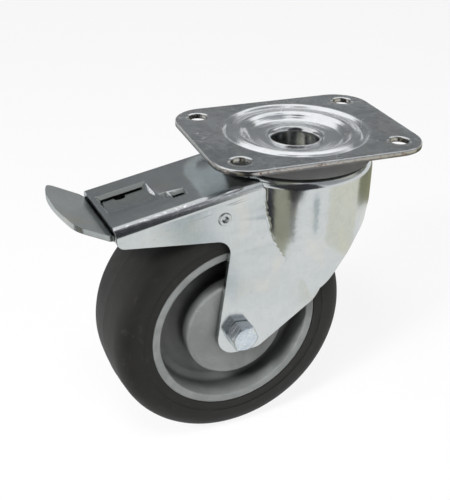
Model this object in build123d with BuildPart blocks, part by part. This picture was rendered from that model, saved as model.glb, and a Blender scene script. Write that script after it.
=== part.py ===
"""Swivel castor with a 125 mm wheel and a total-lock brake.

The origin is the middle of the plate's mounting face, on the swivel axis, and +Z
points up. The plate's long side lies along X. The fork side is drawn trailing
towards -X, then turned about the swivel axis to the angle where it rests.
"""

import os
from math import cos, radians, sin, sqrt, tan

from build123d import *

os.makedirs("parts", exist_ok=True)

# Main sizes, in millimetres and degrees
total_height = 155.0
trail = 40.0
swivel_rest = 4.5
brake_travel = 10.0

# Clearances
running_fit = 0.05
side_gap = 0.3
ball_play = 0.05
lock_gap = 0.4
nose_gap = 1.0
tread_gap = 2.1
leg_gap = 0.9

# Top plate
bolt_pitch_x = 80.0
bolt_pitch_y = 60.0
bolt_edge = 12.5
plate_length = bolt_pitch_x + 2 * bolt_edge
plate_width = bolt_pitch_y + 2 * bolt_edge
plate_sheet = 2.5
plate_corner = 17.0
plate_rounding = 0.8
bolt_hole_radius = 4.5
bolt_hole_rounding = 0.3
dish_margin = 6.0
dish_radius = plate_width / 2 - dish_margin
dish_lip = 2.5
dish_valley_radius = dish_radius - dish_lip
dish_valley_depth = 1.6
dish_floor_depth = 4.0
dish_floor_width = 4.0
dish_flat_width = 3.3
dish_centre_drop = 0.4
dish_centre_depth = dish_floor_depth + dish_centre_drop
dish_under = dish_centre_depth + plate_sheet

# Swivel bearing: the lower track is narrower than the upper one
upper_ball_radius = 4.5
upper_track_inset = 7.0
upper_track_radius = dish_radius - upper_track_inset
upper_ball_count = 18
lower_ball_radius = 3.0
track_stagger = 7.5
lower_track_radius = upper_track_radius - track_stagger
lower_ball_count = 20
track_crest_depth = 0.7
track_land = 1.2
track_bite = 0.65
track_outer_radius = upper_track_radius + track_land
track_inner_radius = upper_track_radius - track_land
seal_wall = 1.5
seal_clear = 0.1
seal_radius = dish_radius + seal_clear + seal_wall
seal_lip = 1.3
seal_lip_reach = 1.4
seal_lift = 0.4

# Fork sheet
fork_sheet = 2.5
head_overhang = 0.3
head_radius = seal_radius + head_overhang
head_top_depth = track_crest_depth + plate_sheet + 2 * (upper_ball_radius - track_bite)
head_shoulder = 5.0
head_race_lip = 2.15
head_hole_radius = lower_track_radius - lower_ball_radius - ball_play - head_race_lip
fork_under = head_top_depth + fork_sheet
housing_reach = 103.0
housing_bow = 2.5
housing_bend = 4.5
housing_end_slant = 2.3
housing_lip_depth = 27.0
housing_end_depth = 33.2
housing_root_depth = 40.4
roof_angle = 9.15
roof_rise = 2.9
roof_height_at_axis = roof_rise - head_top_depth
skirt_top_depth = 20.0
skirt_waist_depth = 44.0
skirt_waist_inset = 2.2
skirt_foot_depth = 80.0
leg_foot_radius = 11.4
leg_root_offset = 4.7
leg_back_offset = 12.9
leg_front_offset = 10.5
front_foot_x = 4.0
front_foot_rise = 11.0
front_knee_x = 14.0
front_knee_rise = 25.5
front_hip_inset = 11.4
front_hip_depth = 38.5
front_top_depth = 26.5

# Louvres and pad pressed into the roof, with x along the roof
big_louvre_start = -100.0
big_louvre_end = -75.0
big_louvre_bend = -9.5
big_louvre_slit = 12.0
big_louvre_depth = 3.1
big_louvre_taper = 2.6
small_louvre_start = -69.8
small_louvre_end = -62.4
small_louvre_bend = -13.2
small_louvre_slit = -6.0
small_louvre_depth = 2.9
small_louvre_taper = 0.7
notch_louvre_start = -74.3
notch_louvre_end = -70.8
notch_louvre_bend = -10.0
notch_louvre_slit = -4.2
notch_louvre_depth = 2.2
notch_louvre_taper = 0.8
slit_width = 0.4
louvre_hole_x = -89.2
louvre_hole_radius = 2.7
pad_x = -66.4
pad_root_y = -5.6
pad_root_half_width = 4.4
pad_neck_y = 4.0
pad_neck_half_width = 6.5
pad_head_y = 12.2
pad_head_half_width = 7.0
pad_tip_y = 20.8
pad_tip_half_width = 2.4
pad_raise = 0.45
pad_corner = 1.3
pad_draft = 20.0

# King rivet, spacer and lock ring, inside the head's hole
rivet_wall = 1.0
spacer_wall = 3.0
spacer_gap = 1.35
rivet_radius = head_hole_radius - spacer_gap - spacer_wall - running_fit
rivet_bore_radius = rivet_radius - rivet_wall
rivet_lip = 1.8
rivet_lip_radius = rivet_radius + rivet_lip
rivet_lip_height = 0.9
rivet_lip_bevel = 0.3
rivet_funnel = 2.4
rivet_flare = 2.6
rivet_flare_radius = rivet_radius + rivet_flare
rivet_flare_sheet = 1.4
dish_flat_radius = rivet_lip_radius + dish_flat_width
dish_floor_radius = dish_flat_radius + dish_floor_width
lock_ring_sheet = 3.0
lock_land = 0.25
lock_notch_root = lower_track_radius + lower_ball_radius + ball_play + lock_land
lock_tooth_length = 6.2
lock_ring_radius = lock_notch_root + lock_tooth_length
lock_notch_width = 4.4
lock_notch_count = 24
upper_ball_z = -(track_crest_depth + plate_sheet - track_bite + upper_ball_radius)
lower_ball_z = -(fork_under - track_bite + lower_ball_radius)
lock_ring_top = lower_ball_z - lower_ball_radius + track_bite
lock_ring_bottom = lock_ring_top - lock_ring_sheet

# Brake lever: the nose stands below the lock ring, the web clears the tread
lever_sheet = 2.5
nose_height = 4.55
nose_half_width = 9.6
nose_tooth_width = 3.0
nose_tooth_length = 3.4
nose_x = -(lock_notch_root + lock_gap + lever_sheet / 2)
nose_top_depth = nose_gap - lock_ring_bottom
lever_high_depth = nose_top_depth + nose_height
lever_step = 4.4
lever_low_depth = lever_high_depth + lever_step
lever_step_run = 5.5
lever_step_offset = 27.3
lever_bend = 5.0
tread_depth = lever_high_depth + lever_sheet / 2 + tread_gap
pivot_offset = 8.7
pivot_x = -trail - pivot_offset
pivot_drop = 1.65
pivot_depth = lever_high_depth + pivot_drop
pivot_radius = 2.5
pivot_head_radius = 3.4
pivot_head_height = 0.7
pivot_head_bevel = 0.5
pivot_dimple_radius = 1.7
pivot_dimple_depth = 0.8
pivot_flare_height = 1.2
flange_depth = 5.0
flange_end_depth = 2.5
flange_front = 7.0
flange_back = 14.0
neck_run = 6.0
pedal_angle = 27.8
pedal_length = 29.4
pedal_root_inset = 6.0
pedal_inset = 1.4
pedal_bow = 5.0
pedal_corner = 5.0

# Brake shoe and detent spring
shoe_half_width = 10.0
shoe_length = 12.0
shoe_offset = 8.7
shoe_gap = 0.3
shoe_groove_pitch = 2.6
shoe_groove_width = 0.9
shoe_groove_depth = 0.6
shoe_rivet_y = 7.2
shoe_rivet_radius = 1.6
shoe_rivet_depth = 2.2
shoe_rivet_head_radius = 2.6
rivet_head_height = 0.9
leaf_sheet = 0.8
leaf_half_width = 4.5
leaf_rivet_offset = 3.8
leaf_rivet_radius = 1.5
leaf_rivet_head_radius = 2.4
leaf_heel = 3.0
leaf_foot = 4.0
leaf_reach = 13.5
leaf_tail = 3.2
leaf_tail_drop = 0.7

# Wheel
wheel_radius = (total_height - tread_depth) / 2
tyre_half_width = 21.6
tyre_depth = 18.1
tyre_rib_depth = 3.1
tyre_bead_step = 0.5
tyre_bead_height = 4.6
tyre_shoulder = 9.0
tyre_crown_drop = 1.0
rim_radius = wheel_radius - tyre_depth
rim_wall = 4.5
rim_inset = 0.8
rim_half_width = tyre_half_width - rim_inset
rim_rib_radius = rim_radius + tyre_rib_depth
rim_rib_half_width = 8.0
rim_edge = 0.5
web_half_thickness = 6.0
web_fillet = 2.5
leg_inner = tyre_half_width + leg_gap
leg_half_width = leg_inner + fork_sheet
cap_radius = 26.2
cap_gap = 1.4
cap_face = leg_inner - cap_gap
cap_depth = 7.0
cap_wall = 1.4
cap_rounding = 1.6
cap_hole_radius = 10.2

# Axle and bearings
axle_radius = 4.0
axle_play = 0.2
axle_hole_radius = axle_radius + axle_play
hex_across_flats = 13.0
hex_turn = -8.0
bolt_head_height = 7.4
bolt_face_radius = 5.7
bolt_end_chamfer = 0.8
washer_face_height = 0.4
nut_height = 8.0
nut_collar = 2.0
nut_collar_inset = 0.4
bolt_overhang = 2.5
sleeve_radius = 7.5
leg_washer_length = 3.0
leg_washer_radius = 9.5
bearing_outer_radius = 17.5
bearing_width = 11.0
bearing_end = leg_inner - leg_washer_length
bearing_offset = bearing_end - bearing_width
bearing_bore = sleeve_radius + running_fit
bearing_ball_radius = 3.0
bearing_ball_count = 8
bearing_ring_wall = 2.9

# Places worked out from the sizes
axle_z = wheel_radius - total_height
wheel_centre = (-trail, 0, axle_z)
wheel_axis = Axis(wheel_centre, (0, 1, 0))
wheel_section = Plane(origin=wheel_centre, x_dir=(0, 1, 0), z_dir=(1, 0, 0))
roof_plane = Plane(
    origin=(0, 0, roof_height_at_axis),
    x_dir=(cos(radians(roof_angle)), 0, sin(radians(roof_angle))),
    z_dir=(-sin(radians(roof_angle)), 0, cos(radians(roof_angle))),
)


def turned(part: Part, name: str) -> Part:
    """A fork-side piece, turned to where the fork rests, with its label."""
    placed = part.rotate(Axis.Z, swivel_rest)
    placed.label = name
    return placed


# Top plate: rounded rectangle with four holes and a stamped dish that holds the upper track
with BuildPart() as top_plate:
    with BuildSketch(Plane.XY.offset(-plate_sheet)):
        RectangleRounded(plate_length, plate_width, plate_corner)
        Circle(dish_radius, mode=Mode.SUBTRACT)
        with GridLocations(bolt_pitch_x, bolt_pitch_y, 2, 2):
            Circle(bolt_hole_radius, mode=Mode.SUBTRACT)
    extrude(amount=plate_sheet)
    bolt_edges = (
        top_plate.edges()
        .filter_by(GeomType.CIRCLE)
        .filter_by(lambda edge: abs(edge.radius - bolt_hole_radius) < 0.01)
    )
    fillet(bolt_edges, bolt_hole_rounding)
    outline = top_plate.faces().sort_by(Axis.Z)[-1].outer_wire().edges()
    fillet(outline, plate_rounding)
    with BuildSketch(Plane.XZ):
        with BuildLine():
            dish_top = Spline(
                (dish_radius, 0),
                (dish_valley_radius, -dish_valley_depth),
                (track_outer_radius, -track_crest_depth),
                tangents=[(-1, 0), (-1, 0)],
            )
            Line(dish_top @ 1, (track_inner_radius, -track_crest_depth))
            dish_slope = Spline(
                (track_inner_radius, -track_crest_depth),
                (dish_floor_radius, -dish_floor_depth),
                tangents=[(-1, 0), (-1, -0.08)],
            )
            Polyline(
                dish_slope @ 1,
                (dish_flat_radius, -dish_centre_depth),
                (rivet_radius + running_fit, -dish_centre_depth),
                (rivet_radius + running_fit, -dish_under),
                (dish_flat_radius, -dish_under),
                (dish_floor_radius, -dish_floor_depth - plate_sheet),
            )
            under_slope = Spline(
                (dish_floor_radius, -dish_floor_depth - plate_sheet),
                (track_inner_radius, -track_crest_depth - plate_sheet),
                tangents=[(1, 0.08), (1, 0)],
            )
            Line(under_slope @ 1, (track_outer_radius, -track_crest_depth - plate_sheet))
            under_valley = Spline(
                (track_outer_radius, -track_crest_depth - plate_sheet),
                (dish_valley_radius, -dish_valley_depth - plate_sheet),
                (dish_radius, -plate_sheet),
                tangents=[(1, 0), (1, 0)],
            )
            Line(under_valley @ 1, (dish_radius, 0))
        make_face()
    revolve(axis=Axis.Z)
    with BuildSketch(Plane.XZ):
        with Locations((upper_track_radius, upper_ball_z)):
            Circle(upper_ball_radius + ball_play)
    revolve(axis=Axis.Z, mode=Mode.SUBTRACT)
top_plate.part.label = "top_plate"
export_step(top_plate.part, "parts/top_plate.step")

# King rivet: tube with a funnel-shaped lip over the dish and a flare under the lock ring
with BuildPart() as king_rivet:
    with BuildSketch(Plane.XZ):
        with BuildLine():
            lip_top = -dish_centre_depth + rivet_lip_height
            Polyline(
                (rivet_radius, -dish_centre_depth),
                (rivet_lip_radius, -dish_centre_depth),
                (rivet_lip_radius, lip_top - rivet_lip_bevel),
                (rivet_lip_radius - rivet_lip_bevel, lip_top),
                (rivet_bore_radius + rivet_funnel, lip_top),
            )
            RadiusArc(
                (rivet_bore_radius + rivet_funnel, lip_top),
                (rivet_bore_radius, lip_top - rivet_funnel),
                -rivet_funnel,
            )
            Polyline(
                (rivet_bore_radius, lip_top - rivet_funnel),
                (rivet_bore_radius, lock_ring_bottom - rivet_flare_sheet),
                (rivet_flare_radius, lock_ring_bottom - rivet_flare_sheet),
                (rivet_flare_radius, lock_ring_bottom),
                (rivet_radius, lock_ring_bottom),
                (rivet_radius, -dish_centre_depth),
            )
        make_face()
    revolve(axis=Axis.Z)
king_rivet.part.label = "king_rivet"
export_step(king_rivet.part, "parts/king_rivet.step")

# Race spacer: keeps the dish and the lock ring apart when the rivet is closed
with BuildPart() as race_spacer:
    with BuildSketch(Plane.XY.offset(lock_ring_top)):
        Circle(rivet_radius + running_fit + spacer_wall)
        Circle(rivet_radius + running_fit, mode=Mode.SUBTRACT)
    extrude(amount=-dish_under - lock_ring_top)
race_spacer.part.label = "race_spacer"
export_step(race_spacer.part, "parts/race_spacer.step")

# Lock ring: lower track with a toothed edge, one notch in line with the resting fork
with BuildPart() as lock_ring:
    with BuildSketch(Plane.XY.offset(lock_ring_bottom)):
        Circle(lock_ring_radius)
        Circle(rivet_radius + running_fit, mode=Mode.SUBTRACT)
        with PolarLocations(lock_ring_radius, lock_notch_count, start_angle=swivel_rest):
            Rectangle(2 * lock_tooth_length, lock_notch_width, mode=Mode.SUBTRACT)
    extrude(amount=lock_ring_sheet)
    with BuildSketch(Plane.XZ):
        with Locations((lower_track_radius, lower_ball_z)):
            Circle(lower_ball_radius + ball_play)
    revolve(axis=Axis.Z, mode=Mode.SUBTRACT)
lock_ring.part.label = "lock_ring"
export_step(lock_ring.part, "parts/lock_ring.step")

# Dust seal: ring under the plate with a lip turned inwards over the fork head
with BuildPart() as dust_seal:
    with BuildSketch(Plane.XZ):
        seal_bottom = seal_lift - head_top_depth
        with BuildLine():
            Polyline(
                (seal_radius - seal_wall, -plate_sheet),
                (seal_radius, -plate_sheet),
                (seal_radius, seal_bottom),
                (seal_radius - seal_wall - seal_lip_reach, seal_bottom),
                (seal_radius - seal_wall - seal_lip_reach, seal_bottom + seal_lip),
                (seal_radius - seal_wall, seal_bottom + seal_lip),
                close=True,
            )
        make_face()
    revolve(axis=Axis.Z)
    seal_rim = dust_seal.edges().filter_by(GeomType.CIRCLE).group_by(Axis.Z)[0]
    fillet(seal_rim.sort_by(SortBy.RADIUS)[-1], seal_lip / 2)
dust_seal.part.label = "dust_seal"
export_step(dust_seal.part, "parts/dust_seal.step")

# Ball rings of the swivel bearing
with BuildPart() as upper_balls:
    with Locations((0, 0, upper_ball_z)):
        with PolarLocations(upper_track_radius, upper_ball_count):
            Sphere(upper_ball_radius)
upper_balls.part.label = "upper_balls"
export_step(upper_balls.part, "parts/upper_balls.step")

with BuildPart() as lower_balls:
    with Locations((0, 0, lower_ball_z)):
        with PolarLocations(lower_track_radius, lower_ball_count):
            Sphere(lower_ball_radius)
lower_balls.part.label = "lower_balls"
export_step(lower_balls.part, "parts/lower_balls.step")


def roof_height(x: float) -> float:
    """Height of the housing's roof above the plate's face, at a place along the trail."""
    return roof_height_at_axis + x * tan(radians(roof_angle))


def fork_space(inset: float) -> Part:
    """The space bounded by the fork's outer face, or by its inner face when inset is the sheet."""
    radius = head_radius - inset
    half_width = leg_half_width - inset
    top = -head_top_depth - inset
    roof_end_x = -(roof_rise + side_gap) / tan(radians(roof_angle))
    drop = inset / cos(radians(roof_angle))
    box_front = head_radius - leg_half_width
    with BuildPart() as box:
        with BuildSketch(Plane.XZ):
            with BuildLine():
                Polyline(
                    (-housing_reach - 10, roof_height(-housing_reach - 10) - drop),
                    (roof_end_x, roof_height(roof_end_x) - drop),
                    (box_front, roof_height(roof_end_x) - drop),
                    (box_front, axle_z - 2 * leg_foot_radius),
                    (-housing_reach - 10, axle_z - 2 * leg_foot_radius),
                    close=True,
                )
            make_face()
        extrude(amount=half_width, both=True)
        roof_edges = box.edges().filter_by(
            lambda edge: edge.center().Z > roof_height(edge.center().X) - drop - 3
            and abs(abs(edge.center().Y) - half_width) < 0.01
            and edge.center().X < box_front - 1
        )
        fillet(roof_edges, housing_bend - inset)
    with BuildPart() as space:
        with BuildSketch(Plane.XZ):
            with BuildLine():
                Line((0, top), (radius - head_shoulder + inset, top))
                RadiusArc(
                    (radius - head_shoulder + inset, top),
                    (radius, top - head_shoulder + inset),
                    head_shoulder - inset,
                )
                Polyline(
                    (radius, top - head_shoulder + inset),
                    (radius, -skirt_top_depth),
                    (0, -skirt_top_depth),
                    (0, top),
                )
            make_face()
        revolve(axis=Axis.Z)
        with BuildSketch(Plane.XY.offset(-skirt_top_depth)):
            Circle(radius)
        with BuildSketch(Plane.XY.offset(-skirt_waist_depth)):
            with Locations((skirt_waist_inset, 0)):
                Circle(head_radius - skirt_waist_inset - inset)
        with BuildSketch(Plane.XY.offset(-skirt_foot_depth)):
            with Locations((box_front, 0)):
                Circle(half_width)
        loft()
        add(box.part)
    return space.part


def pressed_pocket(x_start, x_end, y_bend, y_slit, depth, taper) -> Part:
    """A wedge below the roof's face: no depth at the bend line, full depth at the slit."""
    with BuildPart() as pocket:
        with BuildSketch(roof_plane):
            with Locations(((x_start + x_end) / 2, (y_bend + y_slit) / 2)):
                Rectangle(x_end - x_start, y_slit - y_bend)
        with BuildSketch(roof_plane.offset(-depth)):
            with Locations(((x_start + x_end) / 2, y_slit - slit_width / 2)):
                Rectangle(x_end - x_start - 2 * taper, slit_width)
        loft(ruled=True)
    return pocket.part


# Each louvre's start and end along the roof, bend line, slit, depth and taper
louvres = (
    (
        big_louvre_start,
        big_louvre_end,
        big_louvre_bend,
        big_louvre_slit,
        big_louvre_depth,
        big_louvre_taper,
    ),
    (
        small_louvre_start,
        small_louvre_end,
        small_louvre_bend,
        small_louvre_slit,
        small_louvre_depth,
        small_louvre_taper,
    ),
    (
        notch_louvre_start,
        notch_louvre_end,
        notch_louvre_bend,
        notch_louvre_slit,
        notch_louvre_depth,
        notch_louvre_taper,
    ),
)

# Fork: one sheet with a round head, two legs, a front wall and the brake housing
with BuildPart() as fork:
    add(fork_space(0))
    add(fork_space(fork_sheet), mode=Mode.SUBTRACT)
    with BuildSketch(Plane.XZ) as side_outline:
        with BuildLine():
            foot_z = axle_z - leg_foot_radius
            skirt_edge = FilletPolyline(
                (-housing_reach - 2, 5),
                (-housing_reach + housing_end_slant, -housing_lip_depth),
                (-housing_reach + housing_end_slant - 0.5, -housing_end_depth),
                (-trail - leg_root_offset, -housing_root_depth),
                (-trail - leg_back_offset, foot_z),
                (-trail + leg_front_offset, foot_z),
                (front_foot_x, axle_z + front_foot_rise),
                (front_knee_x, axle_z + front_knee_rise),
                (head_radius - front_hip_inset, -front_hip_depth),
                (head_radius + 10, -front_top_depth),
                (head_radius + 10, 5),
                radius=(0.5, 4.5, 7.5, leg_foot_radius - 1.5, 8.0, 22.0, 14.0, 16.0, 0.5),
            )
            Line(skirt_edge @ 1, skirt_edge @ 0)
        make_face()
    extrude(amount=head_radius + 5, both=True, mode=Mode.INTERSECT)
    with BuildSketch(Plane.XY):
        with BuildLine():
            ThreePointArc(
                (-housing_reach + housing_bow, -leg_half_width),
                (-housing_reach, 0),
                (-housing_reach + housing_bow, leg_half_width),
            )
            Polyline(
                (-housing_reach + housing_bow, leg_half_width),
                (-housing_reach - 20, leg_half_width + 5),
                (-housing_reach - 20, -leg_half_width - 5),
                (-housing_reach + housing_bow, -leg_half_width),
            )
        make_face()
    extrude(amount=-60, mode=Mode.SUBTRACT)
    with BuildSketch(Plane.XY.offset(-fork_under - 1)):
        Circle(head_hole_radius)
    extrude(amount=fork_sheet + 5, mode=Mode.SUBTRACT)
    with BuildSketch(Plane.XZ):
        with Locations((upper_track_radius, upper_ball_z)):
            Circle(upper_ball_radius + ball_play)
        with Locations((lower_track_radius, lower_ball_z)):
            Circle(lower_ball_radius + ball_play)
    revolve(axis=Axis.Z, mode=Mode.SUBTRACT)
    for louvre in louvres:
        add(Pos(roof_plane.z_dir * -fork_sheet) * pressed_pocket(*louvre))
    for louvre in louvres:
        add(pressed_pocket(*louvre), mode=Mode.SUBTRACT)
    with BuildSketch(roof_plane):
        with Locations((louvre_hole_x, big_louvre_slit - louvre_hole_radius)):
            Circle(louvre_hole_radius)
        with Locations((louvre_hole_x, big_louvre_slit - louvre_hole_radius / 2)):
            Rectangle(2 * louvre_hole_radius, louvre_hole_radius)
    extrude(amount=-4 * fork_sheet, mode=Mode.SUBTRACT)
    with BuildSketch(roof_plane):
        with BuildLine():
            FilletPolyline(
                (pad_x - pad_root_half_width, pad_root_y),
                (pad_x - pad_neck_half_width, pad_neck_y),
                (pad_x - pad_head_half_width, pad_head_y),
                (pad_x - pad_tip_half_width, pad_tip_y),
                (pad_x + pad_tip_half_width, pad_tip_y),
                (pad_x + pad_head_half_width, pad_head_y),
                (pad_x + pad_neck_half_width, pad_neck_y),
                (pad_x + pad_root_half_width, pad_root_y),
                close=True,
                radius=pad_corner,
            )
        make_face()
    extrude(amount=pad_raise, taper=pad_draft)
    with BuildSketch(Plane.XZ):
        with Locations((-trail, axle_z)):
            Circle(axle_hole_radius)
        with Locations((pivot_x, -pivot_depth)):
            Circle(pivot_radius)
    extrude(amount=leg_half_width + 5, both=True, mode=Mode.SUBTRACT)
fork_turned = turned(fork.part, "fork")
export_step(fork_turned, "parts/fork.step")

# Brake lever: pedal, web between the legs, side flanges and locking nose, bent from one sheet
lever_half_width = leg_inner - side_gap
flange_inner = lever_half_width - lever_sheet
pedal_half_width = leg_half_width - pedal_inset
pedal_root_x = pedal_root_inset - housing_reach
pedal_tip_x = pedal_root_x - pedal_length * cos(radians(pedal_angle))
pedal_tip_z = -lever_low_depth + pedal_length * sin(radians(pedal_angle))
lever_step_x = pivot_x - lever_step_offset
shoe_end_x = pivot_x - shoe_offset
shoe_start_x = shoe_end_x - shoe_length
shoe_rivet_x = (shoe_start_x + shoe_end_x) / 2
leaf_rivet_x = pivot_x - leaf_rivet_offset
shoe_rivet_places = [(shoe_rivet_x, -shoe_rivet_y), (shoe_rivet_x, shoe_rivet_y)]
with BuildPart() as brake_lever:
    with BuildSketch(Plane.XZ):
        with BuildLine() as lever_line:
            FilletPolyline(
                (pedal_tip_x, pedal_tip_z),
                (pedal_root_x, -lever_low_depth),
                (lever_step_x, -lever_low_depth),
                (lever_step_x + lever_step_run, -lever_high_depth),
                (nose_x, -lever_high_depth),
                (nose_x, -nose_top_depth),
                radius=(lever_bend, lever_sheet, lever_sheet, lever_sheet * 0.8),
            )
        trace(line_width=lever_sheet)
    extrude(amount=pedal_half_width, both=True)
    with BuildSketch(Plane.XY) as lever_plan:
        with BuildLine():
            pedal_edge = ThreePointArc(
                (pedal_tip_x + pedal_bow, -pedal_half_width),
                (pedal_tip_x, 0),
                (pedal_tip_x + pedal_bow, pedal_half_width),
            )
            Polyline(
                pedal_edge @ 1,
                (-housing_reach - side_gap, pedal_half_width),
                (-housing_reach + 1.5, lever_half_width),
                (pivot_x + flange_front, lever_half_width),
                (pivot_x + flange_front + neck_run, nose_half_width),
                (nose_x + lever_sheet, nose_half_width),
                (nose_x + lever_sheet, -nose_half_width),
                (pivot_x + flange_front + neck_run, -nose_half_width),
                (pivot_x + flange_front, -lever_half_width),
                (-housing_reach + 1.5, -lever_half_width),
                (-housing_reach - side_gap, -pedal_half_width),
                pedal_edge @ 0,
            )
        make_face()
        fillet(lever_plan.vertices().group_by(Axis.X)[0], pedal_corner)
    extrude(amount=-60, mode=Mode.INTERSECT)
    with BuildSketch(Plane.XZ.offset(-lever_half_width)) as flange_outline:
        with BuildLine():
            FilletPolyline(
                (pedal_root_x + 1, -lever_low_depth),
                (lever_step_x, -lever_low_depth),
                (lever_step_x + lever_step_run, -lever_high_depth),
                (pivot_x + flange_front, -lever_high_depth),
                (pivot_x + flange_front - 3, -pivot_depth - flange_depth),
                (pivot_x - flange_back, -pivot_depth - flange_depth),
                (pedal_root_x + 1, -lever_low_depth - flange_end_depth),
                close=True,
                radius=1.0,
            )
        make_face()
    extrude(amount=lever_sheet)
    mirror(about=Plane.XZ)
    with BuildSketch(Plane.XZ):
        with Locations((pivot_x, -pivot_depth)):
            Circle(pivot_radius + running_fit)
    extrude(amount=lever_half_width + 1, both=True, mode=Mode.SUBTRACT)
    for side in (-1, 1):
        with BuildSketch(Plane.XZ.offset(side * (flange_inner - pivot_flare_height / 2))):
            with Locations((pivot_x, -pivot_depth)):
                Circle(pivot_head_radius + side_gap)
        extrude(amount=pivot_flare_height / 2 + side_gap, both=True, mode=Mode.SUBTRACT)
    nose_swing = nose_height * sin(radians(brake_travel)) + lever_sheet / 4
    tooth_pitch = 2 * (nose_swing - nose_x) * sin(radians(180 / lock_notch_count))
    tooth_gap = tooth_pitch - nose_tooth_width
    with BuildSketch(Plane.YZ.offset(nose_x)):
        with Locations((0, -nose_top_depth)):
            with GridLocations(tooth_pitch, 1, 4, 1):
                Rectangle(tooth_gap, 2 * nose_tooth_length)
    extrude(amount=lever_sheet, both=True, mode=Mode.SUBTRACT)
    with BuildSketch(Plane.XY.offset(-lever_high_depth)):
        with Locations(*shoe_rivet_places):
            Circle(shoe_rivet_radius)
        with Locations((leaf_rivet_x, 0)):
            Circle(leaf_rivet_radius)
    extrude(amount=lever_sheet, both=True, mode=Mode.SUBTRACT)
lever_turned = turned(brake_lever.part, "brake_lever")
export_step(lever_turned, "parts/brake_lever.step")

# Brake shoe: its face meets the tread all along when the lever is pressed
press = radians(brake_travel)
to_wheel_x = -trail - pivot_x
to_wheel_z = axle_z + pivot_depth
shoe_centre_x = pivot_x + to_wheel_x * cos(press) + to_wheel_z * sin(press)
shoe_centre_z = -pivot_depth - to_wheel_x * sin(press) + to_wheel_z * cos(press)
shoe_face_radius = wheel_radius + shoe_gap
lever_web_under = -lever_high_depth - lever_sheet / 2
with BuildPart() as brake_shoe:
    with BuildSketch(Plane.XZ):
        with Locations((shoe_rivet_x, lever_web_under - tread_depth / 2)):
            Rectangle(shoe_length, tread_depth)
        with Locations((shoe_centre_x, shoe_centre_z)):
            Circle(shoe_face_radius, mode=Mode.SUBTRACT)
    extrude(amount=shoe_half_width, both=True)
    with BuildSketch(Plane.XZ):
        for step in range(1, int(shoe_length / shoe_groove_pitch) + 1):
            groove_x = shoe_start_x + shoe_groove_pitch * step
            groove_z = shoe_centre_z + sqrt(shoe_face_radius**2 - (groove_x - shoe_centre_x) ** 2)
            with Locations((groove_x, groove_z)):
                Rectangle(shoe_groove_width, 2 * shoe_groove_depth, rotation=8)
    extrude(amount=shoe_half_width + 1, both=True, mode=Mode.SUBTRACT)
    with BuildSketch(Plane.XY.offset(lever_web_under)):
        with Locations(*shoe_rivet_places):
            Circle(shoe_rivet_radius)
    extrude(amount=-shoe_rivet_depth, mode=Mode.SUBTRACT)
shoe_turned = turned(brake_shoe.part, "brake_shoe")
export_step(shoe_turned, "parts/brake_shoe.step")

# Shoe rivets: two round heads on the web, shanks closed in the shoe
with BuildPart() as shoe_rivets:
    with BuildSketch(Plane.XY.offset(lever_web_under - shoe_rivet_depth)):
        with Locations(*shoe_rivet_places):
            Circle(shoe_rivet_radius)
    extrude(amount=shoe_rivet_depth + lever_sheet)
    with BuildSketch(Plane.XY.offset(lever_web_under + lever_sheet)):
        with Locations(*shoe_rivet_places):
            Circle(shoe_rivet_head_radius)
    extrude(amount=rivet_head_height)
rivets_turned = turned(shoe_rivets.part, "shoe_rivets")
export_step(rivets_turned, "parts/shoe_rivets.step")

# Detent spring: leaf that rises from the web to the roof of the housing
leaf_bed = -lever_high_depth + lever_sheet / 2 + leaf_sheet / 2
leaf_crest_x = leaf_rivet_x - leaf_reach
leaf_crest = roof_height(leaf_crest_x) - fork_sheet / cos(radians(roof_angle)) - side_gap - leaf_sheet
with BuildPart() as detent_spring:
    with BuildSketch(Plane.XZ):
        with BuildLine():
            FilletPolyline(
                (leaf_rivet_x + leaf_heel, leaf_bed),
                (leaf_rivet_x - leaf_foot, leaf_bed),
                (leaf_crest_x, leaf_crest),
                (leaf_crest_x - leaf_tail, leaf_crest - leaf_tail_drop),
                radius=(3.0, 1.5),
            )
        trace(line_width=leaf_sheet)
    extrude(amount=leaf_half_width, both=True)
    with BuildSketch(Plane.XY.offset(leaf_bed)):
        with Locations((leaf_rivet_x, 0)):
            Circle(leaf_rivet_radius)
    extrude(amount=leaf_sheet, both=True, mode=Mode.SUBTRACT)
spring_turned = turned(detent_spring.part, "detent_spring")
export_step(spring_turned, "parts/detent_spring.step")

# Spring rivet
with BuildPart() as spring_rivet:
    with BuildSketch(Plane.XY.offset(lever_web_under)):
        with Locations((leaf_rivet_x, 0)):
            Circle(leaf_rivet_radius)
    extrude(amount=lever_sheet + leaf_sheet)
    for bed, height in (
        (lever_web_under, -rivet_head_height),
        (lever_web_under + lever_sheet + leaf_sheet, rivet_head_height),
    ):
        with BuildSketch(Plane.XY.offset(bed)):
            with Locations((leaf_rivet_x, 0)):
                Circle(leaf_rivet_head_radius)
        extrude(amount=height)
spring_rivet_turned = turned(spring_rivet.part, "spring_rivet")
export_step(spring_rivet_turned, "parts/spring_rivet.step")

# Pivot rivets: one through each side wall, on a common line across the fork
pivot_section = Plane(origin=(pivot_x, 0, -pivot_depth), x_dir=(0, -1, 0), z_dir=(-1, 0, 0))
pivot_axis = Axis((pivot_x, 0, -pivot_depth), (0, 1, 0))
with BuildPart() as pivot_rivets:
    with BuildSketch(pivot_section):
        with BuildLine():
            Polyline(
                (flange_inner - pivot_flare_height, 0),
                (flange_inner - pivot_flare_height, pivot_head_radius),
                (flange_inner - running_fit, pivot_head_radius),
                (flange_inner - running_fit, pivot_radius),
                (leg_half_width, pivot_radius),
                (leg_half_width, pivot_head_radius),
                (leg_half_width + pivot_head_height, pivot_head_radius - pivot_head_bevel),
                (leg_half_width + pivot_head_height, pivot_dimple_radius),
                (leg_half_width - pivot_dimple_depth, pivot_dimple_radius / 2),
                (leg_half_width - pivot_dimple_depth, 0),
                close=True,
            )
        make_face()
    revolve(axis=pivot_axis)
    mirror(about=Plane.XZ)
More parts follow.
